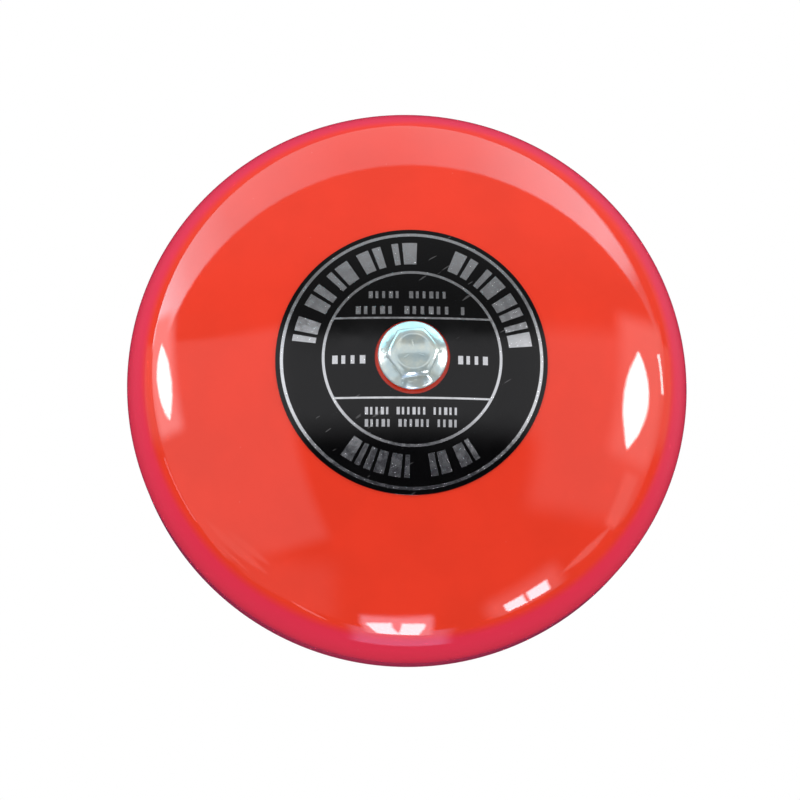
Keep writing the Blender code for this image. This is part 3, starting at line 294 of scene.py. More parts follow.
def turned_metal(name, colour, roughness):
    """Machined brass or enamelled copper with fine lines."""
    made = Surface(name, colour, roughness, 1.0)
    made.paint(made.mottle(0.1, 350))
    lines = made.noise(1800, 2, (1, 1, 0.08))
    made.roughen(made.span(lines, 0.3, 0.7, roughness * 0.8, roughness * 1.3))
    made.emboss(lines, 0.008 * MM)
    return made


def board_green():
    """Solder mask over tracks that stand slightly proud."""
    made = Surface("board_green", (0.02, 0.16, 0.06), 0.32, Coat_Weight=0.4, Coat_Roughness=0.12)
    tracks = made.node("ShaderNodeTexVoronoi", {"Vector": made.stretched((1, 0, 1)), "Scale": 420},
                       distance="CHEBYCHEV").outputs["Distance"]
    lit = made.span(tracks, 0.32, 0.36)
    made.paint(made.mixed(lit, made.mottle(0.1, 300), (0.05, 0.30, 0.11)))
    made.roughen(made.span(made.noise(500), 0.3, 0.7, 0.26, 0.4))
    made.emboss(lit, 0.03 * MM)
    return made


SURFACES = {
    "red_enamel": red_enamel(), "label_black": label_black(), "zinc_plate": zinc_plate(),
    "bright_steel": bright_steel(), "cast_alloy": cast_alloy(), "black_rubber": black_rubber(),
    "black_plastic": moulded("black_plastic", (0.022, 0.022, 0.024), 0.45),
    "white_nylon": moulded("white_nylon", (0.80, 0.79, 0.74), 0.4),
    "terminal_green": moulded("terminal_green", (0.05, 0.30, 0.11), 0.42),
    "capacitor_sleeve": moulded("capacitor_sleeve", (0.02, 0.035, 0.16), 0.22),
    "wire_red": moulded("wire_red", (0.55, 0.02, 0.02), 0.38),
    "wire_black": moulded("wire_black", (0.018, 0.018, 0.018), 0.4),
    "ferrite": moulded("ferrite", (0.06, 0.06, 0.065), 0.7, grain=0.03),
    "brass": turned_metal("brass", (0.78, 0.56, 0.25), 0.26),
    "copper_winding": turned_metal("copper_winding", (0.70, 0.30, 0.15), 0.34),
    "board_green": board_green(),
}
FOIL = silver_foil()


# ---------------------------------------------------------------- shapes

def polar(radius, degrees, z=0.0):
    return Vector((radius * cos(radians(degrees)), radius * sin(radians(degrees)), z))


def rounded(corners, steps=5):
    """A closed outline from (radius, z, fillet) corners, with each fillet drawn as an arc."""
    outline = []
    for k, (radius, z, fillet) in enumerate(corners):
        here = Vector((radius, z))
        if not fillet:
            outline.append(here)
            continue
        before = Vector(corners[k - 1][:2]) - here
        after = Vector(corners[(k + 1) % len(corners)][:2]) - here
        start = here + before.normalized() * min(fillet, 0.48 * before.length)
        end = here + after.normalized() * min(fillet, 0.48 * after.length)
        for step in range(steps + 1):
            t = step / steps
            outline.append(start.lerp(here, t).lerp(here.lerp(end, t), t))
    return outline


def turned(outline, steps=128, place=Matrix.Identity(4)):
    """A closed body turned about z from a closed outline of (radius, z) points."""
    bm = bmesh.new()
    rings = []
    for point in outline:
        radius, z = point[0], point[1]
        if radius < 1e-7:
            rings.append([bm.verts.new(place @ Vector((0, 0, z)))])
        else:
            rings.append([bm.verts.new(place @ polar(radius, 360 * k / steps, z)) for k in range(steps)])
    for first, second in zip(rings, rings[1:] + rings[:1]):
        if len(first) == 1 and len(second) == 1:
            continue
        for k in range(steps):
            n = (k + 1) % steps
            corners = [first[k % len(first)], first[n % len(first)],
                       second[n % len(second)], second[k % len(second)]]
            bm.faces.new(list(dict.fromkeys(corners)))
    bmesh.ops.recalc_face_normals(bm, faces=bm.faces)
    return bm


def rod(radius, start, end, steps=48):
    start, end = Vector(start), Vector(end)
    place = Matrix.Translation(start) @ (end - start).to_track_quat("Z", "Y").to_matrix().to_4x4()
    length = (end - start).length
    return turned([(0, 0), (radius, 0), (radius, length), (0, length)], steps, place)


def prism(outline, height):
    """A closed body from a flat outline pushed along z."""
    bm = bmesh.new()
    face = bm.faces.new([bm.verts.new(point) for point in outline])
    raised = bmesh.ops.extrude_face_region(bm, geom=[face])["geom"]
    bmesh.ops.translate(bm, verts=[v for v in raised if isinstance(v, bmesh.types.BMVert)], vec=(0, 0, height))
    bmesh.ops.recalc_face_normals(bm, faces=bm.faces)
    return bm


def joined(first, second, operation):
    """The Boolean of two closed bodies, as a new one. The solver wants both to face outwards."""
    objects = []
    for bm in (first, second):
        if bm.calc_volume(signed=True) < 0:
            bmesh.ops.reverse_faces(bm, faces=bm.faces)
        mesh = bpy.data.meshes.new("shape")
        bm.to_mesh(mesh)
        bm.free()
        objects.append(bpy.data.objects.new("shape", mesh))
        bpy.context.scene.collection.objects.link(objects[-1])
    modifier = objects[0].modifiers.new("shape", "BOOLEAN")
    modifier.operation = operation
    modifier.object = objects[1]
    view = bpy.context.evaluated_depsgraph_get()
    result = bmesh.new()
    result.from_mesh(objects[0].evaluated_get(view).data)
    for spent in objects:
        bpy.data.objects.remove(spent)
    bmesh.ops.remove_doubles(result, verts=result.verts, dist=WELD)
    return result


def cut(bm, *cutters):
    for cutter in cutters:
        bm = joined(bm, cutter, "DIFFERENCE")
    return bm


def fused(bm, *others):
    for other in others:
        bm = joined(bm, other, "UNION")
    return bm


def soften(bm, width, segments=2):
    """Rounds every true edge, but not the steps of a round face."""
    sharp = [e for e in bm.edges if e.is_manifold and e.calc_face_angle() > CORNER]
    bmesh.ops.bevel(bm, geom=sharp, offset=width, segments=segments, profile=0.5, affect="EDGES",
                    clamp_overlap=True)


def show(name, bm, body, slot, surface=None, replaces=(), place=STAND_UP, soft=0.0):
    """Makes a piece of the object from a body in the wall frame."""
    if soft:
        soften(bm, soft)
    bm.transform(place)
    mesh = bpy.data.meshes.new(name)
    bm.to_mesh(mesh)
    bm.free()
    mesh.shade_smooth()
    mesh.set_sharp_from_angle(angle=CORNER)
    mesh.materials.append((surface or SURFACES[slot]).material)
    made = bpy.data.objects.new(name, mesh)
    bpy.context.scene.collection.objects.link(made)
    if body:
        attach(made, body)
    if replaces:
        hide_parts(*replaces)
    return made


REMADE = set()


def remake(node, bm, soft=0.0):
    """A finer piece that stands for one CAD node, on its body and in its finish."""
    REMADE.add(node)
    show(f"{node}_finished", bm, BODY_OF[node], SLOT_OF[node], replaces=[node], soft=soft)


def cad_copy(node):
    """A CAD node's mesh in the wall frame."""
    bm = bmesh.new()
    bm.from_mesh(frame["nodes"][node].data)
    bm.transform(STAND_UP.inverted())
    bmesh.ops.remove_doubles(bm, verts=bm.verts, dist=WELD)
    return bm


def section(bm):
    """The outline of a body turned about z, cut through its widest points, as (radius, z) points."""
    widest = max((v.co.xy for v in bm.verts), key=lambda point: point.length).normalized()
    radial = Vector((*widest, 0))
    for normal in (radial, Vector((-widest.y, widest.x, 0))):
        found = bmesh.ops.bisect_plane(bm, geom=[*bm.verts, *bm.edges, *bm.faces], dist=WELD,
                                       plane_co=(0, 0, 0), plane_no=normal)["geom_cut"]
    near = {}
    for edge in found:
        if isinstance(edge, bmesh.types.BMEdge) and min(v.co.dot(radial) for v in edge.verts) > -WELD:
            first, second = edge.verts
            near.setdefault(first, []).append(second)
            near.setdefault(second, []).append(first)
    path = [min(near, key=lambda v: (len(near[v]), v.co.z))]
    while True:
        onward = [v for v in near[path[-1]] if v not in path]
        if not onward:
            return [Vector((v.co.dot(radial), v.co.z)) for v in path]
        path.append(onward[0])


def respun(node, axis, steps=96, edge=0.2 * MM):
    """A turned CAD node, turned again in fine steps with rounded edges and smooth curves."""
    bm = cad_copy(node)
    low, high = (Vector([choose(v.co[k] for v in bm.verts) for k in range(3)]) for choose in (min, max))
    place = Matrix.Translation((low + high) / 2) @ Vector(axis).to_track_quat("Z", "Y").to_matrix().to_4x4()
    bm.transform(place.inverted())
    points = section(bm)
    bm.free()
    corners = []
    for k, here in enumerate(points):
        bend = (here - points[k - 1]).angle(points[(k + 1) % len(points)] - here)
        if here.x < WELD:
            corners.append((0, here.y, 0))
        elif bend > radians(1):
            corners.append((here.x, here.y, edge if bend > CORNER else 1))
    return turned(rounded(corners), steps, place)


RECESS_TAPER, RECESS_ARM = 0.55, 0.26           # its floor's share of its size, and half an arm's width
RECESS_TURN = 17                                # degrees


def cross_recess(place, size, depth):
    """The hollow a cross-head driver fits, going down depth from place, with arms that taper."""
    low = place.copy()
    low.z -= depth
    bm = bmesh.new()
    rings = []
    for centre, scale in ((low, RECESS_TAPER), (place, 1.0), (place + Vector((0, 0, CUT_PAST)), 1.0)):
        ring = []
        for quarter in range(4):
            turn = Matrix.Rotation(radians(90 * quarter + RECESS_TURN), 3, "Z")
            for x, y in ((1, -RECESS_ARM), (1, RECESS_ARM), (RECESS_ARM, RECESS_ARM)):
                ring.append(bm.verts.new(centre + turn @ Vector((x, y, 0)) * size * scale))
        rings.append(ring)
    for first, second in zip(rings, rings[1:]):
        for k in range(12):
            bm.faces.new((first[k - 1], first[k], second[k], second[k - 1]))
    bm.faces.new(rings[0][::-1])
    bm.faces.new(rings[-1])
    bmesh.ops.recalc_face_normals(bm, faces=bm.faces)
    return bm


def refine(node, soft=0.15 * MM):
    """A finished copy of a CAD node: facets joined into faces, and the edges rounded."""
    bm = cad_copy(node)
    bmesh.ops.dissolve_limit(bm, angle_limit=radians(0.8), verts=bm.verts, edges=bm.edges)
    remake(node, bm, soft)


# ---------------------------------------------------------------- gong and label

def cap_z(radius, inset=0.0):
    return CAP_CENTRE + sqrt((CAP_RADIUS - inset) ** 2 - radius ** 2)


def gong_face(inset, rows=26, shoulder_rows=22):
    """One face of the gong, from the hole out to the skirt, as (radius, z) points."""
    edge = (CAP_RADIUS - inset) * sin(SHOULDER_START)
    face = []
    for k in range(rows):
        radius = GONG_HOLE + (edge - GONG_HOLE) * k / rows
        face.append((radius, cap_z(radius, inset)))
    for k in range(shoulder_rows + 1):
        angle = SHOULDER_START + (pi / 2 - SHOULDER_START) * k / shoulder_rows
        bend = SHOULDER_RADIUS - inset
        face.append((SHOULDER_X + bend * sin(angle), SKIRT_TOP + bend * cos(angle)))
    return face


def make_gong():
    half = GONG_WALL / 2
    middle = GONG_RADIUS - half
    rim = [(middle + half * cos(radians(degrees)), RIM_Z + half + half * sin(radians(degrees)))
           for degrees in range(0, -181, -20)]
    outline = gong_face(0) + rim + gong_face(GONG_WALL)[::-1]
    remake("gong", turned(outline, 256))


LABEL_HOLE = 9.66 * MM
LABEL_LIFT, LABEL_FACE = 0.2 * MM, 0.45 * MM       # how far its two faces stand off the cap
LABEL_EDGE = 0.05 * MM
LABEL_ROWS = 24


def make_label():
    rows = [LABEL_HOLE + (LABEL_RADIUS - LABEL_HOLE) * k / LABEL_ROWS for k in range(LABEL_ROWS + 1)]
    top = [(row, cap_z(row) + LABEL_FACE) for row in rows]
    top[-1] = (rows[-1] - LABEL_EDGE, top[-1][1])
    under = [(row, cap_z(row) + LABEL_LIFT) for row in rows]
    remake("label_disc", turned(top + under[::-1], 256))


# The print: raised a little from the label's face, in pieces short enough to follow its curve.
PRINT_SINK, PRINT_RISE = 0.02 * MM, 0.03 * MM
PRINT_STEP = 1.5 * MM
RINGS = ((33.1 * MM, 33.9 * MM), (22.45 * MM, 23.15 * MM))
RULES = (10.3 * MM, -10.65 * MM)
RULE_END_RADIUS = 22.55 * MM
RULE_WIDTH = 0.5 * MM
MARKS_INNER = 25.1 * MM
UPPER_MARKS = (31.2 * MM, 12.4, (165, 146.5, 129, 111.5, 93.7, 62.5, 45, 29, 13.2))
LOWER_MARKS = (30.9 * MM, 10.2, (-121, -108.7, -96.3, -75.7, -60.8))

# Rows of blocks: left end, right end, middle height, block height in millimetres, and their number.
ROWS = ((-11.2, 11.3, 16.6, 1.9, 13), (-14.5, 14.6, 12.4, 2.1, 14), (-20.5, -11.1, -0.7, 2.2, 4),
        (11.7, 20.2, -0.7, 2.2, 4), (-12.1, 12.1, -14.0, 1.9, 18), (-12.1, 12.1, -17.1, 1.9, 17))


def add_patch(bm, grid):
    """A thin closed patch on the label's face over a grid of (x, y) points."""
    layers = []
    for rise in (PRINT_RISE, -PRINT_SINK):
        layers.append([[bm.verts.new((x, y, cap_z(sqrt(x * x + y * y)) + LABEL_FACE + rise)) for x, y in row]
                       for row in grid])
    top, under = layers
    rows, columns = len(grid), len(grid[0])
    for i in range(rows - 1):
        for j in range(columns - 1):
            bm.faces.new((top[i][j], top[i][j + 1], top[i + 1][j + 1], top[i + 1][j]))
            bm.faces.new((under[i][j], under[i + 1][j], under[i + 1][j + 1], under[i][j + 1]))
    border = [(0, j) for j in range(columns)] + [(i, columns - 1) for i in range(1, rows)]
    border += [(rows - 1, j) for j in range(columns - 2, -1, -1)] + [(i, 0) for i in range(rows - 2, 0, -1)]
    for (a, b), (c, d) in zip(border, border[1:] + border[:1]):
        bm.faces.new((top[a][b], under[a][b], under[c][d], top[c][d]))


def add_bar(bm, x0, x1, y0, y1):
    steps = max(1, round((x1 - x0) / PRINT_STEP))
    grid = [[(x0 + (x1 - x0) * k / steps, y) for k in range(steps + 1)] for y in (y0, y1)]
    add_patch(bm, grid)


def add_arc_bar(bm, inner, outer, start, end):
    """A bar between two radii and two angles in degrees."""
    steps = max(2, round(radians(end - start) * outer / PRINT_STEP))
    grid = []
    for row in range(4):
        radius = inner + (outer - inner) * row / 3
        grid.append([tuple(polar(radius, start + (end - start) * k / steps).xy) for k in range(steps + 1)])
    add_patch(bm, grid)


def add_ring(bm, inner, outer, steps=180):
    for start in (0, 180):
        grid = [[tuple(polar(radius, start + 180 * k / (steps // 2)).xy) for k in range(steps // 2 + 1)]
                for radius in (inner, outer)]
        add_patch(bm, grid)


def add_row(bm, x0, x1, y, height, blocks):
    """A row of small blocks that stand for a printed line. One in seven is left out, as a wider gap."""
    pitch = (x1 - x0) / blocks
    for k in range(blocks):
        if k % 7 == 5:
            continue
        width = pitch * (0.42 if k % 3 else 0.6)
        start = x0 + k * pitch
        add_bar(bm, start, start + width, y - height / 2, y + height / 2)


def add_mark(bm, inner, outer, centre, width, flip):
    """A large mark between the rings: a wide bar and a narrow one, in either order."""
    split = 0.58 if flip else 0.34
    left, gap = centre + width / 2, width * 0.16
    middle = left - width * split
    add_arc_bar(bm, inner, outer, middle + gap / 2, left)
    add_arc_bar(bm, inner, outer, centre - width / 2, middle - gap / 2)


def make_print():
    """The label's rings and rules, and plain marks in place of its lettering."""
    rules = bmesh.new()
    for inner, outer in RINGS:
        add_ring(rules, inner, outer)
    for y in RULES:
        half = sqrt(RULE_END_RADIUS ** 2 - y ** 2)
        add_bar(rules, -half, half, y - RULE_WIDTH / 2, y + RULE_WIDTH / 2)
    bmesh.ops.recalc_face_normals(rules, faces=rules.faces)
    show("label_rules", rules, "gong_body", "bright_steel", FOIL)
    marks = bmesh.new()
    for outer, width, centres in (UPPER_MARKS, LOWER_MARKS):
        for k, centre in enumerate(centres):
            add_mark(marks, MARKS_INNER, outer, centre, width, k % 2)
    for left, right, y, height, blocks in ROWS:
        add_row(marks, left * MM, right * MM, y * MM, height * MM, blocks)
    bmesh.ops.recalc_face_normals(marks, faces=marks.faces)
    show("label_marks", marks, "gong_body", "bright_steel", FOIL)


# ---------------------------------------------------------------- bolt and washer

BOLT_HEAD_HEIGHT = 5.6 * MM
BOLT_SEAT = BOLT_TOP - BOLT_HEAD_HEIGHT
BOLT_TURN = 6                    # degrees
HEXAGON_CORNER = 6.93 * MM
CHAMFER_RADIUS, CHAMFER_SLOPE = 4.95 * MM, 0.58
FLANGE_EDGE, CONE_HEIGHT = 1.0 * MM, 2.1 * MM
DISH_RADIUS, DISH_DEPTH = 3.7 * MM, 0.25 * MM
SHANK_CORE = 3.35 * MM
GRADE_MARK = (0.8 * MM, 0.22 * MM)            # half its length and half its width
GRADE_MARK_RADIUS, GRADE_MARK_ANGLES = 2.2 * MM, (90, 210, 330)
THREAD_PITCH, THREAD_MINOR, THREAD_MAJOR = 1.25 * MM, 3.3 * MM, 3.9 * MM
THREAD_START, THREAD_END = BOLT_TIP + 0.4 * MM, BOLT_SEAT - 2.5 * MM


def make_bolt():
    edge = BOLT_SEAT + FLANGE_EDGE
    hexagon = prism([polar(HEXAGON_CORNER, 60 * side + BOLT_TURN, edge) for side in range(6)], BOLT_TOP - edge)
    outside = HEXAGON_CORNER + CUT_PAST
    chamfer_end = BOLT_TOP - CHAMFER_SLOPE * (outside - CHAMFER_RADIUS)
    crown = [(0, BOLT_TOP), (CHAMFER_RADIUS, BOLT_TOP), (outside, chamfer_end), (outside, BOLT_SEAT),
             (0, BOLT_SEAT)]
    head = joined(hexagon, turned(crown, 96), "INTERSECT")
    floor, rim = BOLT_TOP - DISH_DEPTH, BOLT_TOP + 0.1 * MM
    head = cut(head, turned([(0, floor), (DISH_RADIUS, floor), (DISH_RADIUS + 0.5 * MM, rim), (0, rim)], 96))
    cone = BOLT_SEAT + CONE_HEIGHT
    flange = turned(rounded([(0, cone + 1 * MM, 0), (HEXAGON_CORNER - 0.6 * MM, cone + 0.2 * MM, 0.4 * MM),
                             (FLANGE_RADIUS, edge, 0.4 * MM), (FLANGE_RADIUS, BOLT_SEAT, 0.3 * MM),
                             (SHANK_CORE, BOLT_SEAT, 0), (SHANK_CORE, BOLT_TIP + 1 * MM, 0),
                             (SHANK_CORE - 1 * MM, BOLT_TIP, 0), (0, BOLT_TIP, 0)]), 128)
    remake("gong_bolt", fused(head, flange), soft=0.28 * MM)
    marks = bmesh.new()
    low, high = floor - 0.1 * MM, floor + 0.13 * MM
    long, wide = GRADE_MARK
    outward = Matrix.Translation((GRADE_MARK_RADIUS, 0, 0))
    for degrees in GRADE_MARK_ANGLES:
        place = Matrix.Rotation(radians(degrees + BOLT_TURN), 4, "Z") @ outward
        corners = [marks.verts.new(place @ Vector((x, y, z))) for z in (low, high)
                   for x, y in ((-long, -wide), (long, -wide), (long, wide), (-long, wide))]
        for k in range(4):
            n = (k + 1) % 4
            marks.faces.new((corners[k], corners[n], corners[n + 4], corners[k + 4]))
        marks.faces.new(corners[:4][::-1])
        marks.faces.new(corners[4:])
    bmesh.ops.recalc_face_normals(marks, faces=marks.faces)
    show("bolt_grade_marks", marks, "bolt", "zinc_plate", soft=0.06 * MM)


def make_thread(steps=48, rows_per_turn=12):
    """A right-hand thread as one closed sleeve whose radius rises and falls along a helix."""
    length = THREAD_END - THREAD_START
    rows = round(length / THREAD_PITCH * rows_per_turn)
    bm = bmesh.new()
    rings = []
    for row in range(rows + 1):
        z = THREAD_START + length * row / rows
        depth = min(1, 2 * (z - THREAD_START) / THREAD_PITCH, 2 * (THREAD_END - z) / THREAD_PITCH)
        ring = []
        for k in range(steps):
            phase = (z / THREAD_PITCH - k / steps) % 1
            ridge = 1 - abs(2 * phase - 1)
            radius = THREAD_MINOR + (THREAD_MAJOR - THREAD_MINOR) * ridge * depth
            ring.append(bm.verts.new(polar(radius, 360 * k / steps, z)))
        rings.append(ring)
    for first, second in zip(rings, rings[1:]):
        for k in range(steps):
            n = (k + 1) % steps
            bm.faces.new((first[k], first[n], second[n], second[k]))
    bm.faces.new(rings[0][::-1])
    bm.faces.new(rings[-1])
    bmesh.ops.recalc_face_normals(bm, faces=bm.faces)
    show("bolt_thread", bm, "bolt", "zinc_plate")


def make_sealing_washer():
    inner = 4.2 * MM
    outline = rounded([(WASHER_RADIUS, WASHER_TOP, 0.45 * MM), (WASHER_RADIUS, WASHER_BOTTOM, 0.45 * MM),
                       (inner, WASHER_BOTTOM, 0.3 * MM), (inner, WASHER_TOP, 0.3 * MM)])
    remake("bolt_sealing_washer", turned(outline))


# ---------------------------------------------------------------- plate, housing and cover

CABLE_HOLE, CABLE_HOLE_RADIUS = (-24 * MM, 3 * MM), 6.5 * MM
PLATE_SCREW_ANGLES, PLATE_SCREW_CIRCLE, PLATE_SCREW_BORE = (28, 151, 238), 33 * MM, 1.75 * MM
PLATE_SCREW_SINK = 3.5 * MM
COVER_SCREW_ANGLES, COVER_SCREW_CIRCLE, COVER_SCREW_BORE = (100, 220, 340), 46 * MM, 1.7 * MM
SLOT_ANGLES, SLOT_HALF_WIDTH, SLOT_END = (0, 90, 180), 2.75 * MM, 58.5 * MM
SLOT_MOUTH = PLATE_RADIUS + 5 * MM
GROOVE_INNER, GROOVE_OUTER, GROOVE_FLOOR = 46.2 * MM, 49.8 * MM, 1.5 * MM

HOUSING_INNER, HOUSING_FLOOR = HOUSING_RADIUS - 2.5 * MM, HOUSING_BACK + 2.4 * MM
COVER_BOSS_RADIUS, COVER_BORE_BOTTOM = 4.8 * MM, 22 * MM
MOTOR_Z = 24 * MM
BUSH_BOSS_RADIUS, BUSH_BOSS_START, BUSH_BOSS_END = 7.5 * MM, -45.2 * MM, 1 * MM - HOUSING_RADIUS
BUSH_BORE_RADIUS, BUSH_BORE_START, BUSH_BORE_END = 4.9 * MM, -43 * MM, -57 * MM
PILLAR_SCREW_BORE, PILLAR_SCREW_SINK, PILLAR_SCREW_LEDGE = 3.3 * MM, 5.3 * MM, HOUSING_BACK + 1.4 * MM

COVER_TOP, COVER_BOTTOM = 39.6 * MM, 37.1 * MM
COVER_LIP_INNER, COVER_HOLE, COLLAR_RADIUS = 52.3 * MM, 9.2 * MM, 12 * MM


def make_plate():
    """The plate on the wall, with open slots, a gasket's groove, screw holes and the cable's hole."""
    outline = rounded([(0, PLATE_FRONT, 0), (PLATE_RADIUS, PLATE_FRONT, 0.5 * MM),
                       (PLATE_RADIUS, PLATE_BACK, 0.2 * MM), (0, PLATE_BACK, 0)])
    plate = turned(outline, 192)
    below, above = PLATE_BACK - CUT_PAST, PLATE_FRONT + CUT_PAST
    curve = [Vector((SLOT_END, 0, 0)) - polar(SLOT_HALF_WIDTH, degrees) for degrees in range(-90, 91, 15)]
    slot = [Vector((SLOT_MOUTH, SLOT_HALF_WIDTH, 0)), *curve, Vector((SLOT_MOUTH, -SLOT_HALF_WIDTH, 0))]
    for degrees in SLOT_ANGLES:
        place = Matrix.Rotation(radians(degrees), 4, "Z") @ Matrix.Translation((0, 0, below))
        plate = cut(plate, prism([place @ point for point in slot], above - below))
    plate = cut(plate, rod(CABLE_HOLE_RADIUS, (*CABLE_HOLE, below), (*CABLE_HOLE, above), 64))
    bore, sink = PLATE_SCREW_BORE, PLATE_SCREW_SINK
    countersink = [(0, above), (bore, above), (bore, sink - bore), (sink, 0.1 * MM), (sink, below), (0, below)]
    for degrees in PLATE_SCREW_ANGLES:
        plate = cut(plate, turned(countersink, 48, Matrix.Translation(polar(PLATE_SCREW_CIRCLE, degrees))))
    groove = [(GROOVE_OUTER, GROOVE_FLOOR), (GROOVE_OUTER, below), (GROOVE_INNER, below),
              (GROOVE_INNER, GROOVE_FLOOR)]
    plate = cut(plate, turned(groove, 192))
    remake("mounting_plate", plate, soft=0.2 * MM)


def make_housing():
    """The cast cup, with a boss for each cover screw and one for the striker's bush."""
    below, above = HOUSING_BACK - CUT_PAST, HOUSING_FLOOR + CUT_PAST
    cup = turned(rounded([(0, HOUSING_BACK, 0), (HOUSING_RADIUS, HOUSING_BACK, 0.7 * MM),
                          (HOUSING_RADIUS, HOUSING_TOP, 0.3 * MM), (HOUSING_INNER, HOUSING_TOP, 0.3 * MM),
                          (HOUSING_INNER, HOUSING_FLOOR, 1.6 * MM), (0, HOUSING_FLOOR, 0)]), 192)
    for degrees in COVER_SCREW_ANGLES:
        cup = fused(cup, rod(COVER_BOSS_RADIUS, polar(COVER_SCREW_CIRCLE, degrees, HOUSING_FLOOR - 1 * MM),
                             polar(COVER_SCREW_CIRCLE, degrees, HOUSING_TOP - 0.4 * MM)))
    cup = fused(cup, rod(BUSH_BOSS_RADIUS, (0, BUSH_BOSS_START, MOTOR_Z), (0, BUSH_BOSS_END, MOTOR_Z), 64))
    cutters = [rod(BUSH_BORE_RADIUS, (0, BUSH_BORE_START, MOTOR_Z), (0, BUSH_BORE_END, MOTOR_Z), 64),
               rod(CABLE_HOLE_RADIUS, (*CABLE_HOLE, below), (*CABLE_HOLE, above), 64)]
    for degrees in COVER_SCREW_ANGLES:
        cutters.append(rod(COVER_SCREW_BORE, polar(COVER_SCREW_CIRCLE, degrees, COVER_BORE_BOTTOM),
                           polar(COVER_SCREW_CIRCLE, degrees, HOUSING_TOP + CUT_PAST)))
    for degrees in PLATE_SCREW_ANGLES:
        cutters.append(rod(PLATE_SCREW_BORE, polar(PLATE_SCREW_CIRCLE, degrees, below),
                           polar(PLATE_SCREW_CIRCLE, degrees, above)))
    cutters.append(turned([(0, above), (PILLAR_SCREW_BORE, above), (PILLAR_SCREW_BORE, PILLAR_SCREW_LEDGE),
                           (PILLAR_SCREW_SINK, PILLAR_SCREW_LEDGE), (PILLAR_SCREW_SINK, below), (0, below)]))
    remake("housing", cut(cup, *cutters), soft=0.25 * MM)


def make_cover():
    """The lid over the cup, with a lip outside it and a collar round the pillar."""
    cover = turned(rounded([(COLLAR_RADIUS, COVER_TOP, 0.6 * MM), (COVER_RADIUS, COVER_TOP, 1.3 * MM),
                            (COVER_RADIUS, COVER_LIP, 0.3 * MM), (COVER_LIP_INNER, COVER_LIP, 0.3 * MM),
                            (COVER_LIP_INNER, COVER_BOTTOM, 0.4 * MM), (COVER_HOLE, COVER_BOTTOM, 0.3 * MM),
                            (COVER_HOLE, COLLAR_TOP, 0.3 * MM), (COLLAR_RADIUS, COLLAR_TOP, 0.9 * MM)]), 192)
    for degrees in COVER_SCREW_ANGLES:
        cover = cut(cover, rod(COVER_SCREW_BORE, polar(COVER_SCREW_CIRCLE, degrees, COVER_BOTTOM - CUT_PAST),
                               polar(COVER_SCREW_CIRCLE, degrees, COVER_TOP + CUT_PAST)))
    remake("mechanism_cover", cover, soft=0.12 * MM)


def make_pan_head_screw(node, shank, head, height):
    """A domed screw with a cross recess, from its shank's and head's radius and its head's height."""
    low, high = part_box(node)
    x, y = (low.x + high.x) / 2, (low.z + high.z) / 2
    tip, top = -high.y, -low.y
    seat = top - height
    body = turned(rounded([(0, top, 0), (head, top, 1), (head, seat, 0.15 * MM), (shank, seat, 0),
                           (shank, tip + shank, 0), (0.4 * shank, tip, 0), (0, tip, 0)]), 48,
                  Matrix.Translation((x, y, 0)))
    remake(node, cut(body, cross_recess(Vector((x, y, top)), 0.62 * head, 0.55 * height)))


def make_countersunk_screw(node, size, depth):
    """A screw driven from behind the plate, with a recess of that half width and depth."""
    low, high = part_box(node)
    body = respun(node, (0, 0, 1), 64, 0.1 * MM)
    recess = cross_recess(Vector(((low.x + high.x) / 2, -(low.z + high.z) / 2, high.y)), size, depth)
    recess.transform(Matrix.Rotation(pi, 4, "X"))
    remake(node, cut(body, recess))


# ---------------------------------------------------------------- mechanism

TURNED = {
    (0, 0, 1): ("gong_pillar", "gong_seat_washer", "pillar_seal", "wall_gasket", "cover_gasket",
                "cable_grommet", "suppression_capacitor"),
    (1, 0, 0): ("motor_can", "motor_magnet_ring", "motor_front_bearing", "motor_end_cap", "motor_shaft",
                "motor_commutator", "polarity_diode"),
    (0, 1, 0): ("striker_rod", "striker_collar", "hammer_head", "striker_bush", "striker_seal"),
}


def tube(path, radius, sides=16):
    """A wire of round section along a path of points."""
    bm = bmesh.new()
    rings = []
    for before, point, after in zip([path[0], *path], path, [*path[1:], path[-1]]):
        turn = (after - before).to_track_quat("Z", "Y")
        rings.append([bm.verts.new(point + turn @ polar(radius, 360 * k / sides)) for k in range(sides)])
    for low, high in zip(rings, rings[1:]):
        for k in range(sides):
            bm.faces.new((low[k], low[k - 1], high[k - 1], high[k]))
    bm.faces.new(rings[0])
    bm.faces.new(rings[-1])
    bmesh.ops.recalc_face_normals(bm, faces=bm.faces)
    return bm


def make_spring():
    """The coil round the striker, between the collar at its upper end and the bush at its lower end."""
    node, wire, radius, coils, steps = "striker_return_spring", 0.38 * MM, 3.4 * MM, 6, 48
    low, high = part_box(node)
    top, bottom = high.z - 0.4 * MM, low.z + 0.4 * MM
    path = []
    for k in range(coils * steps + 1):
        across = polar(radius, 360 * k / steps)
        path.append(Vector((across.x, top + (bottom - top) * k / (coils * steps), MOTOR_Z + across.y)))
    REMADE.add(node)
    spring = show(f"{node}_finished", tube(path, wire), None, SLOT_OF[node], replaces=[node])
    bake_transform(spring)


def smoothed(node):
    """A wire of the CAD, subdivided until it is round."""
    bm = cad_copy(node)
    mesh = bpy.data.meshes.new(node)
    bm.to_mesh(mesh)
    bm.free()
    made = bpy.data.objects.new(node, mesh)
    bpy.context.scene.collection.objects.link(made)
    modifier = made.modifiers.new("smooth", "SUBSURF")
    modifier.levels = 2
    result = bmesh.new()
    result.from_mesh(made.evaluated_get(bpy.context.evaluated_depsgraph_get()).data)
    bpy.data.objects.remove(made)
    return result


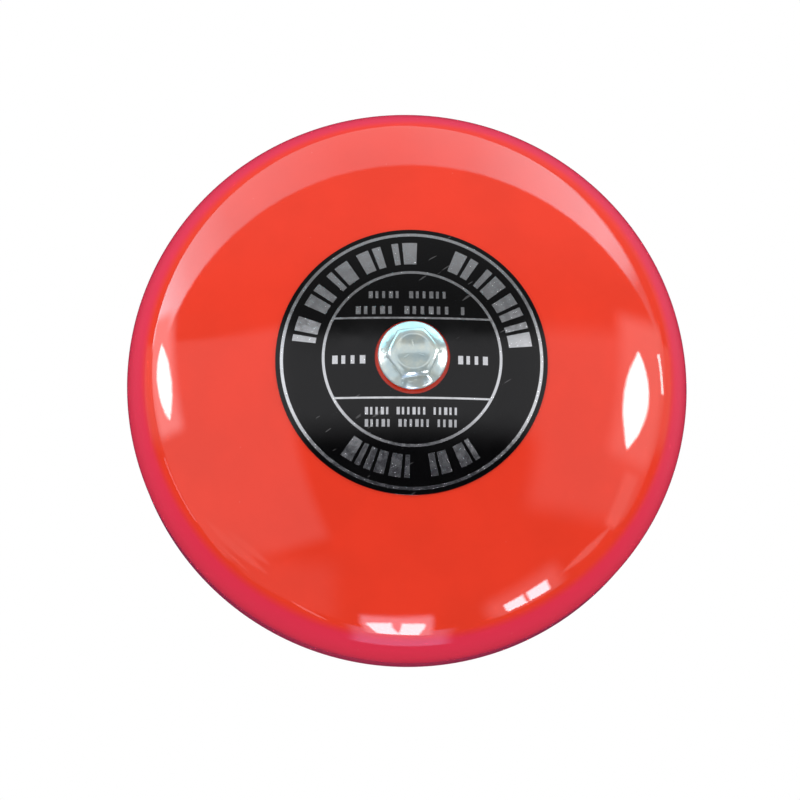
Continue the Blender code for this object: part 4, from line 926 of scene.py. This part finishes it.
make_gong()
make_label()
make_print()
make_bolt()
make_thread()
make_sealing_washer()
make_plate()
make_housing()
make_cover()
make_countersunk_screw("pillar_screw", 2.8 * MM, 1.6 * MM)
for number in (1, 2, 3):
    make_countersunk_screw(f"housing_screw_{number}", 1.5 * MM, 1.2 * MM)
    make_pan_head_screw(f"cover_screw_{number}", 1.35 * MM, 2.8 * MM, 2.0 * MM)
for number in (1, 2):
    make_pan_head_screw(f"motor_clamp_screw_{number}", 1.1 * MM, 2.3 * MM, 1.6 * MM)
    make_pan_head_screw(f"board_screw_{number}", 1.1 * MM, 2.3 * MM, 1.6 * MM)
for axis, nodes in TURNED.items():
    for node in nodes:
        remake(node, respun(node, axis, 192 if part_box(node)[1].x > 40 * MM else 96))
make_spring()
for node in ("lead_positive", "lead_negative"):
    remake(node, smoothed(node))
for node in sorted(set(frame["nodes"]) - REMADE):
    refine(node)


# ---------------------------------------------------------------- studio

def from_bell(side, rise):
    """The direction from the bell at those degrees to the right of straight out and above level."""
    a, e = radians(side), radians(rise)
    return Vector((sin(a) * cos(e), -cos(a) * cos(e), sin(e)))


BELL_FACE = Vector((0, -0.045, 0))
LIGHT_DISTANCE = 1.6


def softbox(name, side, rise, width, brightness):
    """A square light that the bell sees over width degrees. It lights the bell but isn't mirrored."""
    size = 2 * LIGHT_DISTANCE * tan(radians(width) / 2)
    lamp = bpy.data.lights.new(name, "AREA")
    lamp.shape = "SQUARE"
    lamp.size = size
    lamp.energy = brightness * pi * size ** 2
    made = bpy.data.objects.new(name, lamp)
    direction = from_bell(side, rise)
    made.matrix_world = (Matrix.Translation(BELL_FACE + direction * LIGHT_DISTANCE)
                         @ direction.to_track_quat("Z", "Y").to_matrix().to_4x4())
    made.visible_camera = False
    made.visible_glossy = False
    bpy.context.scene.collection.objects.link(made)


# What the lacquer mirrors: degrees right of straight out, degrees above level, width, height, the
# softness of the edges, the turn in the picture and the colour.
PATCHES = (
    (47, 1, 30, 40, 7, 0, (0.80, 0.80, 0.82)),
    (-42, -6, 34, 50, 4, 8, (0.85, 0.86, 0.90)),
    (-36, -38, 26, 14, 7, -20, (0.42, 0.42, 0.44)),
    (-59, 12, 7, 26, 3.5, 14, (4.5, 4.1, 4.3)),
    (-61, -14, 2.5, 16, 1.2, 10, (2.4, 2.2, 2.5)),
    (59, 9, 12, 30, 5, -12, (2.0, 1.9, 1.9)),
    (56, -14, 4, 12, 2, -12, (1.6, 1.5, 1.5)),
    (65.3, 13, 0.9, 8, 0.5, 0, (16, 16, 16)),
    (0, -76, 24, 36, 5, 0, (1.4, 1.5, 2.6)),
    (-1, -57.5, 16, 20, 2, 0, (4.5, 4.0, 5.0)),
    (-7, -57.5, 5.6, 16, 1.0, 0, (20, 20, 22)),
    (4.8, -57.5, 5.2, 16, 1.0, 0, (20, 20, 22)),
    (40.5, -41, 18, 12, 5, 49, (1.5, 1.4, 1.5)),
    (37.2, -42.4, 4.8, 5.5, 0.9, 49, (20, 19, 21)),
    (41.9, -37.9, 5.2, 5.0, 0.9, 49, (20, 19, 21)),
)

# Further ones, in the same terms, that narrow to a point at both ends.
SPINDLES = (
    (-57.9, 10.5, 4.0, 17, 0.9, 14, (26, 26, 26)),
    (57.1, 7.0, 6.6, 21, 1.1, -12, (26, 26, 26)),
    (-35, -50, 3.4, 13, 1.2, 6, (2.2, 2.0, 2.1)),
    (-44.5, -27, 2.4, 19, 1.0, 38, (1.15, 1.1, 1.1)),
    (-41, -27.5, 1.8, 13, 0.8, 40, (1.1, 1.05, 1.05)),
    (-47.5, -29, 1.8, 12, 0.8, 36, (1.1, 1.05, 1.05)),
    (50.5, -26, 2.2, 15, 1.0, -34, (1.5, 1.4, 1.4)),
)


# The bright band overhead: how bright it is from its left end, at -1, to its right end, at 1.
BAND_GLOW = ((-0.84, 12), (-0.77, 7.7), (-0.70, 4.8), (-0.55, 2.8), (-0.17, 1.7), (0.0, 1.7), (0.23, 2.4),
             (0.50, 4.6), (0.66, 5.9), (0.73, 4.7), (0.78, 1.1))
BAND_COLOUR = (0.45, 1.0, 1.12)


def make_band(nodes, across, back, up):
    """The band's colour, and a mask that is 1 inside it."""
    brightest = max(brightness for _, brightness in BAND_GLOW)
    place_along = nodes.node("ShaderNodeMapRange", {"Value": across, "From Min": -1}).outputs[0]
    glow = nodes.node("ShaderNodeValToRGB", {"Fac": place_along})
    stops = glow.color_ramp.elements
    for place, _ in BAND_GLOW[1:-1]:
        stops.new((place + 1) / 2)
    for stop, (place, brightness) in zip(stops, BAND_GLOW):
        stop.position = (place + 1) / 2
        stop.color = (*(share * brightness / brightest for share in BAND_COLOUR), 1)
    colour = nodes.node("ShaderNodeVectorMath", {0: glow.outputs["Color"], "Scale": brightest},
                        operation="SCALE").outputs["Vector"]
    inner = nodes.maths("MULTIPLY_ADD", across, -0.065, back)
    outer = nodes.maths("MULTIPLY_ADD", nodes.maths("ABSOLUTE", across), 0.36, back)
    mask = nodes.maths("MULTIPLY", nodes.span(inner, -0.44, -0.425), nodes.span(up, 0.28, 0.36))
    return colour, nodes.maths("MULTIPLY", mask, nodes.span(outer, -0.04, -0.07))


def add_patches(nodes, direction, room, patches, pointed):
    """The room with patches laid over it, the later ones over the earlier ones."""
    def along(axis):
        made = nodes.node("ShaderNodeVectorMath", {0: direction, 1: axis}, operation="DOT_PRODUCT")
        return made.outputs["Value"]

    for side, rise, width, height, edge, turn, colour in patches:
        centre = from_bell(side, rise)
        axes = centre.to_track_quat("Z", "Y").to_matrix() @ Matrix.Rotation(radians(turn), 3, "Z")
        mask = nodes.span(along(axes.col[2]), 0.0, 0.2)
        aside = nodes.maths("ABSOLUTE", along(axes.col[0]))
        above = nodes.maths("ABSOLUTE", along(axes.col[1]))
        if pointed:
            bow = sin(radians(width) / 2) / sin(radians(height) / 2) ** 2
            aside = nodes.maths("MULTIPLY_ADD", nodes.maths("MULTIPLY", above, above), bow, aside)
        for away, extent in ((aside, width), (above, height)):
            outside, inside = sin(radians(extent + edge) / 2), sin(radians(extent - edge) / 2)
            mask = nodes.maths("MULTIPLY", mask, nodes.span(away, outside, inside))
        room = nodes.mixed(mask, room, colour)
    return room


def make_world():
    """A white surround. Reflections see a studio instead: dim in front, with a bright band overhead."""
    world = bpy.data.worlds.new("studio")
    world.use_nodes = True
    world.cycles.sampling_method = "NONE"
    nodes = Nodes(world.node_tree)
    nodes.tree.nodes.clear()
    direction = nodes.node("ShaderNodeTexCoord").outputs["Generated"]
    parts = nodes.node("ShaderNodeSeparateXYZ", {"Vector": direction})
    across, back, up = parts.outputs["X"], parts.outputs["Y"], parts.outputs["Z"]
    low = nodes.mixed(nodes.span(up, -0.12, 0.02), (0.035, 0.035, 0.04), (0.72, 0.72, 0.75))
    high = nodes.mixed(nodes.span(up, 0.45, 0.75), (0.14, 0.14, 0.145), (0.30, 0.30, 0.31))
    front = nodes.mixed(nodes.span(up, 0.31, 0.34), low, high)
    level = nodes.mixed(nodes.span(across, -0.3, 0.9), (0.26, 0.20, 0.40), (0.44, 0.34, 0.55))
    beside = nodes.mixed(nodes.span(up, -0.6, 0.3), (0.22, 0.08, 0.22), level)
    behind = nodes.mixed(nodes.span(back, 0.15, 0.85), beside, (0.15, 0.02, 0.06))
    around = nodes.mixed(nodes.span(back, -0.17, -0.10), front, behind)
    band, in_band = make_band(nodes, across, back, up)
    room = nodes.mixed(in_band, around, band)
    room = add_patches(nodes, direction, room, PATCHES, pointed=False)
    room = add_patches(nodes, direction, room, SPINDLES, pointed=True)
    fill = nodes.mixed(nodes.span(up, -1.0, 1.0), (1.03, 1.03, 1.04), (1.12, 1.12, 1.11))
    path = nodes.node("ShaderNodeLightPath")
    seen = nodes.mixed(path.outputs["Is Glossy Ray"], fill, room)
    shown = nodes.mixed(path.outputs["Is Camera Ray"], seen, (1, 1, 1))
    background = nodes.node("ShaderNodeBackground", {"Color": shown})
    output = nodes.node("ShaderNodeOutputWorld")
    nodes.tree.links.new(background.outputs[0], output.inputs["Surface"])
    bpy.context.scene.world = world


FLOOR_Z, FLOOR_RADIUS = -0.30, 6
CAMERA_SIDE, CAMERA_RISE = -2.10, -12.57        # degrees, as for from_bell
CAMERA_DISTANCE = 0.600
CAMERA_AIM = Vector((0, -0.038, 0))
CAMERA_SHIFT = (-2.43 * MM, -6.5 * MM)          # moves the aim along the picture's width and height
LENS, SENSOR = 102.15, 36


def make_floor():
    bm = bmesh.new()
    bmesh.ops.create_circle(bm, cap_ends=True, radius=FLOOR_RADIUS, segments=96)
    bmesh.ops.translate(bm, verts=bm.verts, vec=(0, 0, FLOOR_Z))
    mesh = bpy.data.meshes.new("floor")
    bm.to_mesh(mesh)
    bm.free()
    pale = Surface("pale_floor", (0.80, 0.80, 0.80), 0.8)
    pale.paint(pale.mottle(0.01, 3))
    mesh.materials.append(pale.material)
    floor = bpy.data.objects.new("floor", mesh)
    bpy.context.scene.collection.objects.link(floor)
    floor.visible_glossy = False


def make_camera():
    """Slightly below and to the left of the bell, looking up at it, as a long lens sees it."""
    back = from_bell(CAMERA_SIDE, CAMERA_RISE)
    right = Vector((0, 0, 1)).cross(back).normalized()
    up = back.cross(right)
    aim = CAMERA_AIM + right * CAMERA_SHIFT[0] + up * CAMERA_SHIFT[1]
    data = bpy.data.cameras.new("camera")
    data.lens, data.sensor_width = LENS, SENSOR
    camera = bpy.data.objects.new("camera", data)
    axes = Matrix((right, up, back)).transposed().to_4x4()
    camera.matrix_world = Matrix.Translation(aim + back * CAMERA_DISTANCE) @ axes
    bpy.context.scene.collection.objects.link(camera)
    bpy.context.scene.camera = camera


softbox("key", -35, 55, 40, 0.9)
softbox("side", 70, 20, 30, 0.5)
make_world()
make_floor()
make_camera()
bpy.context.scene.view_settings.view_transform = "Standard"
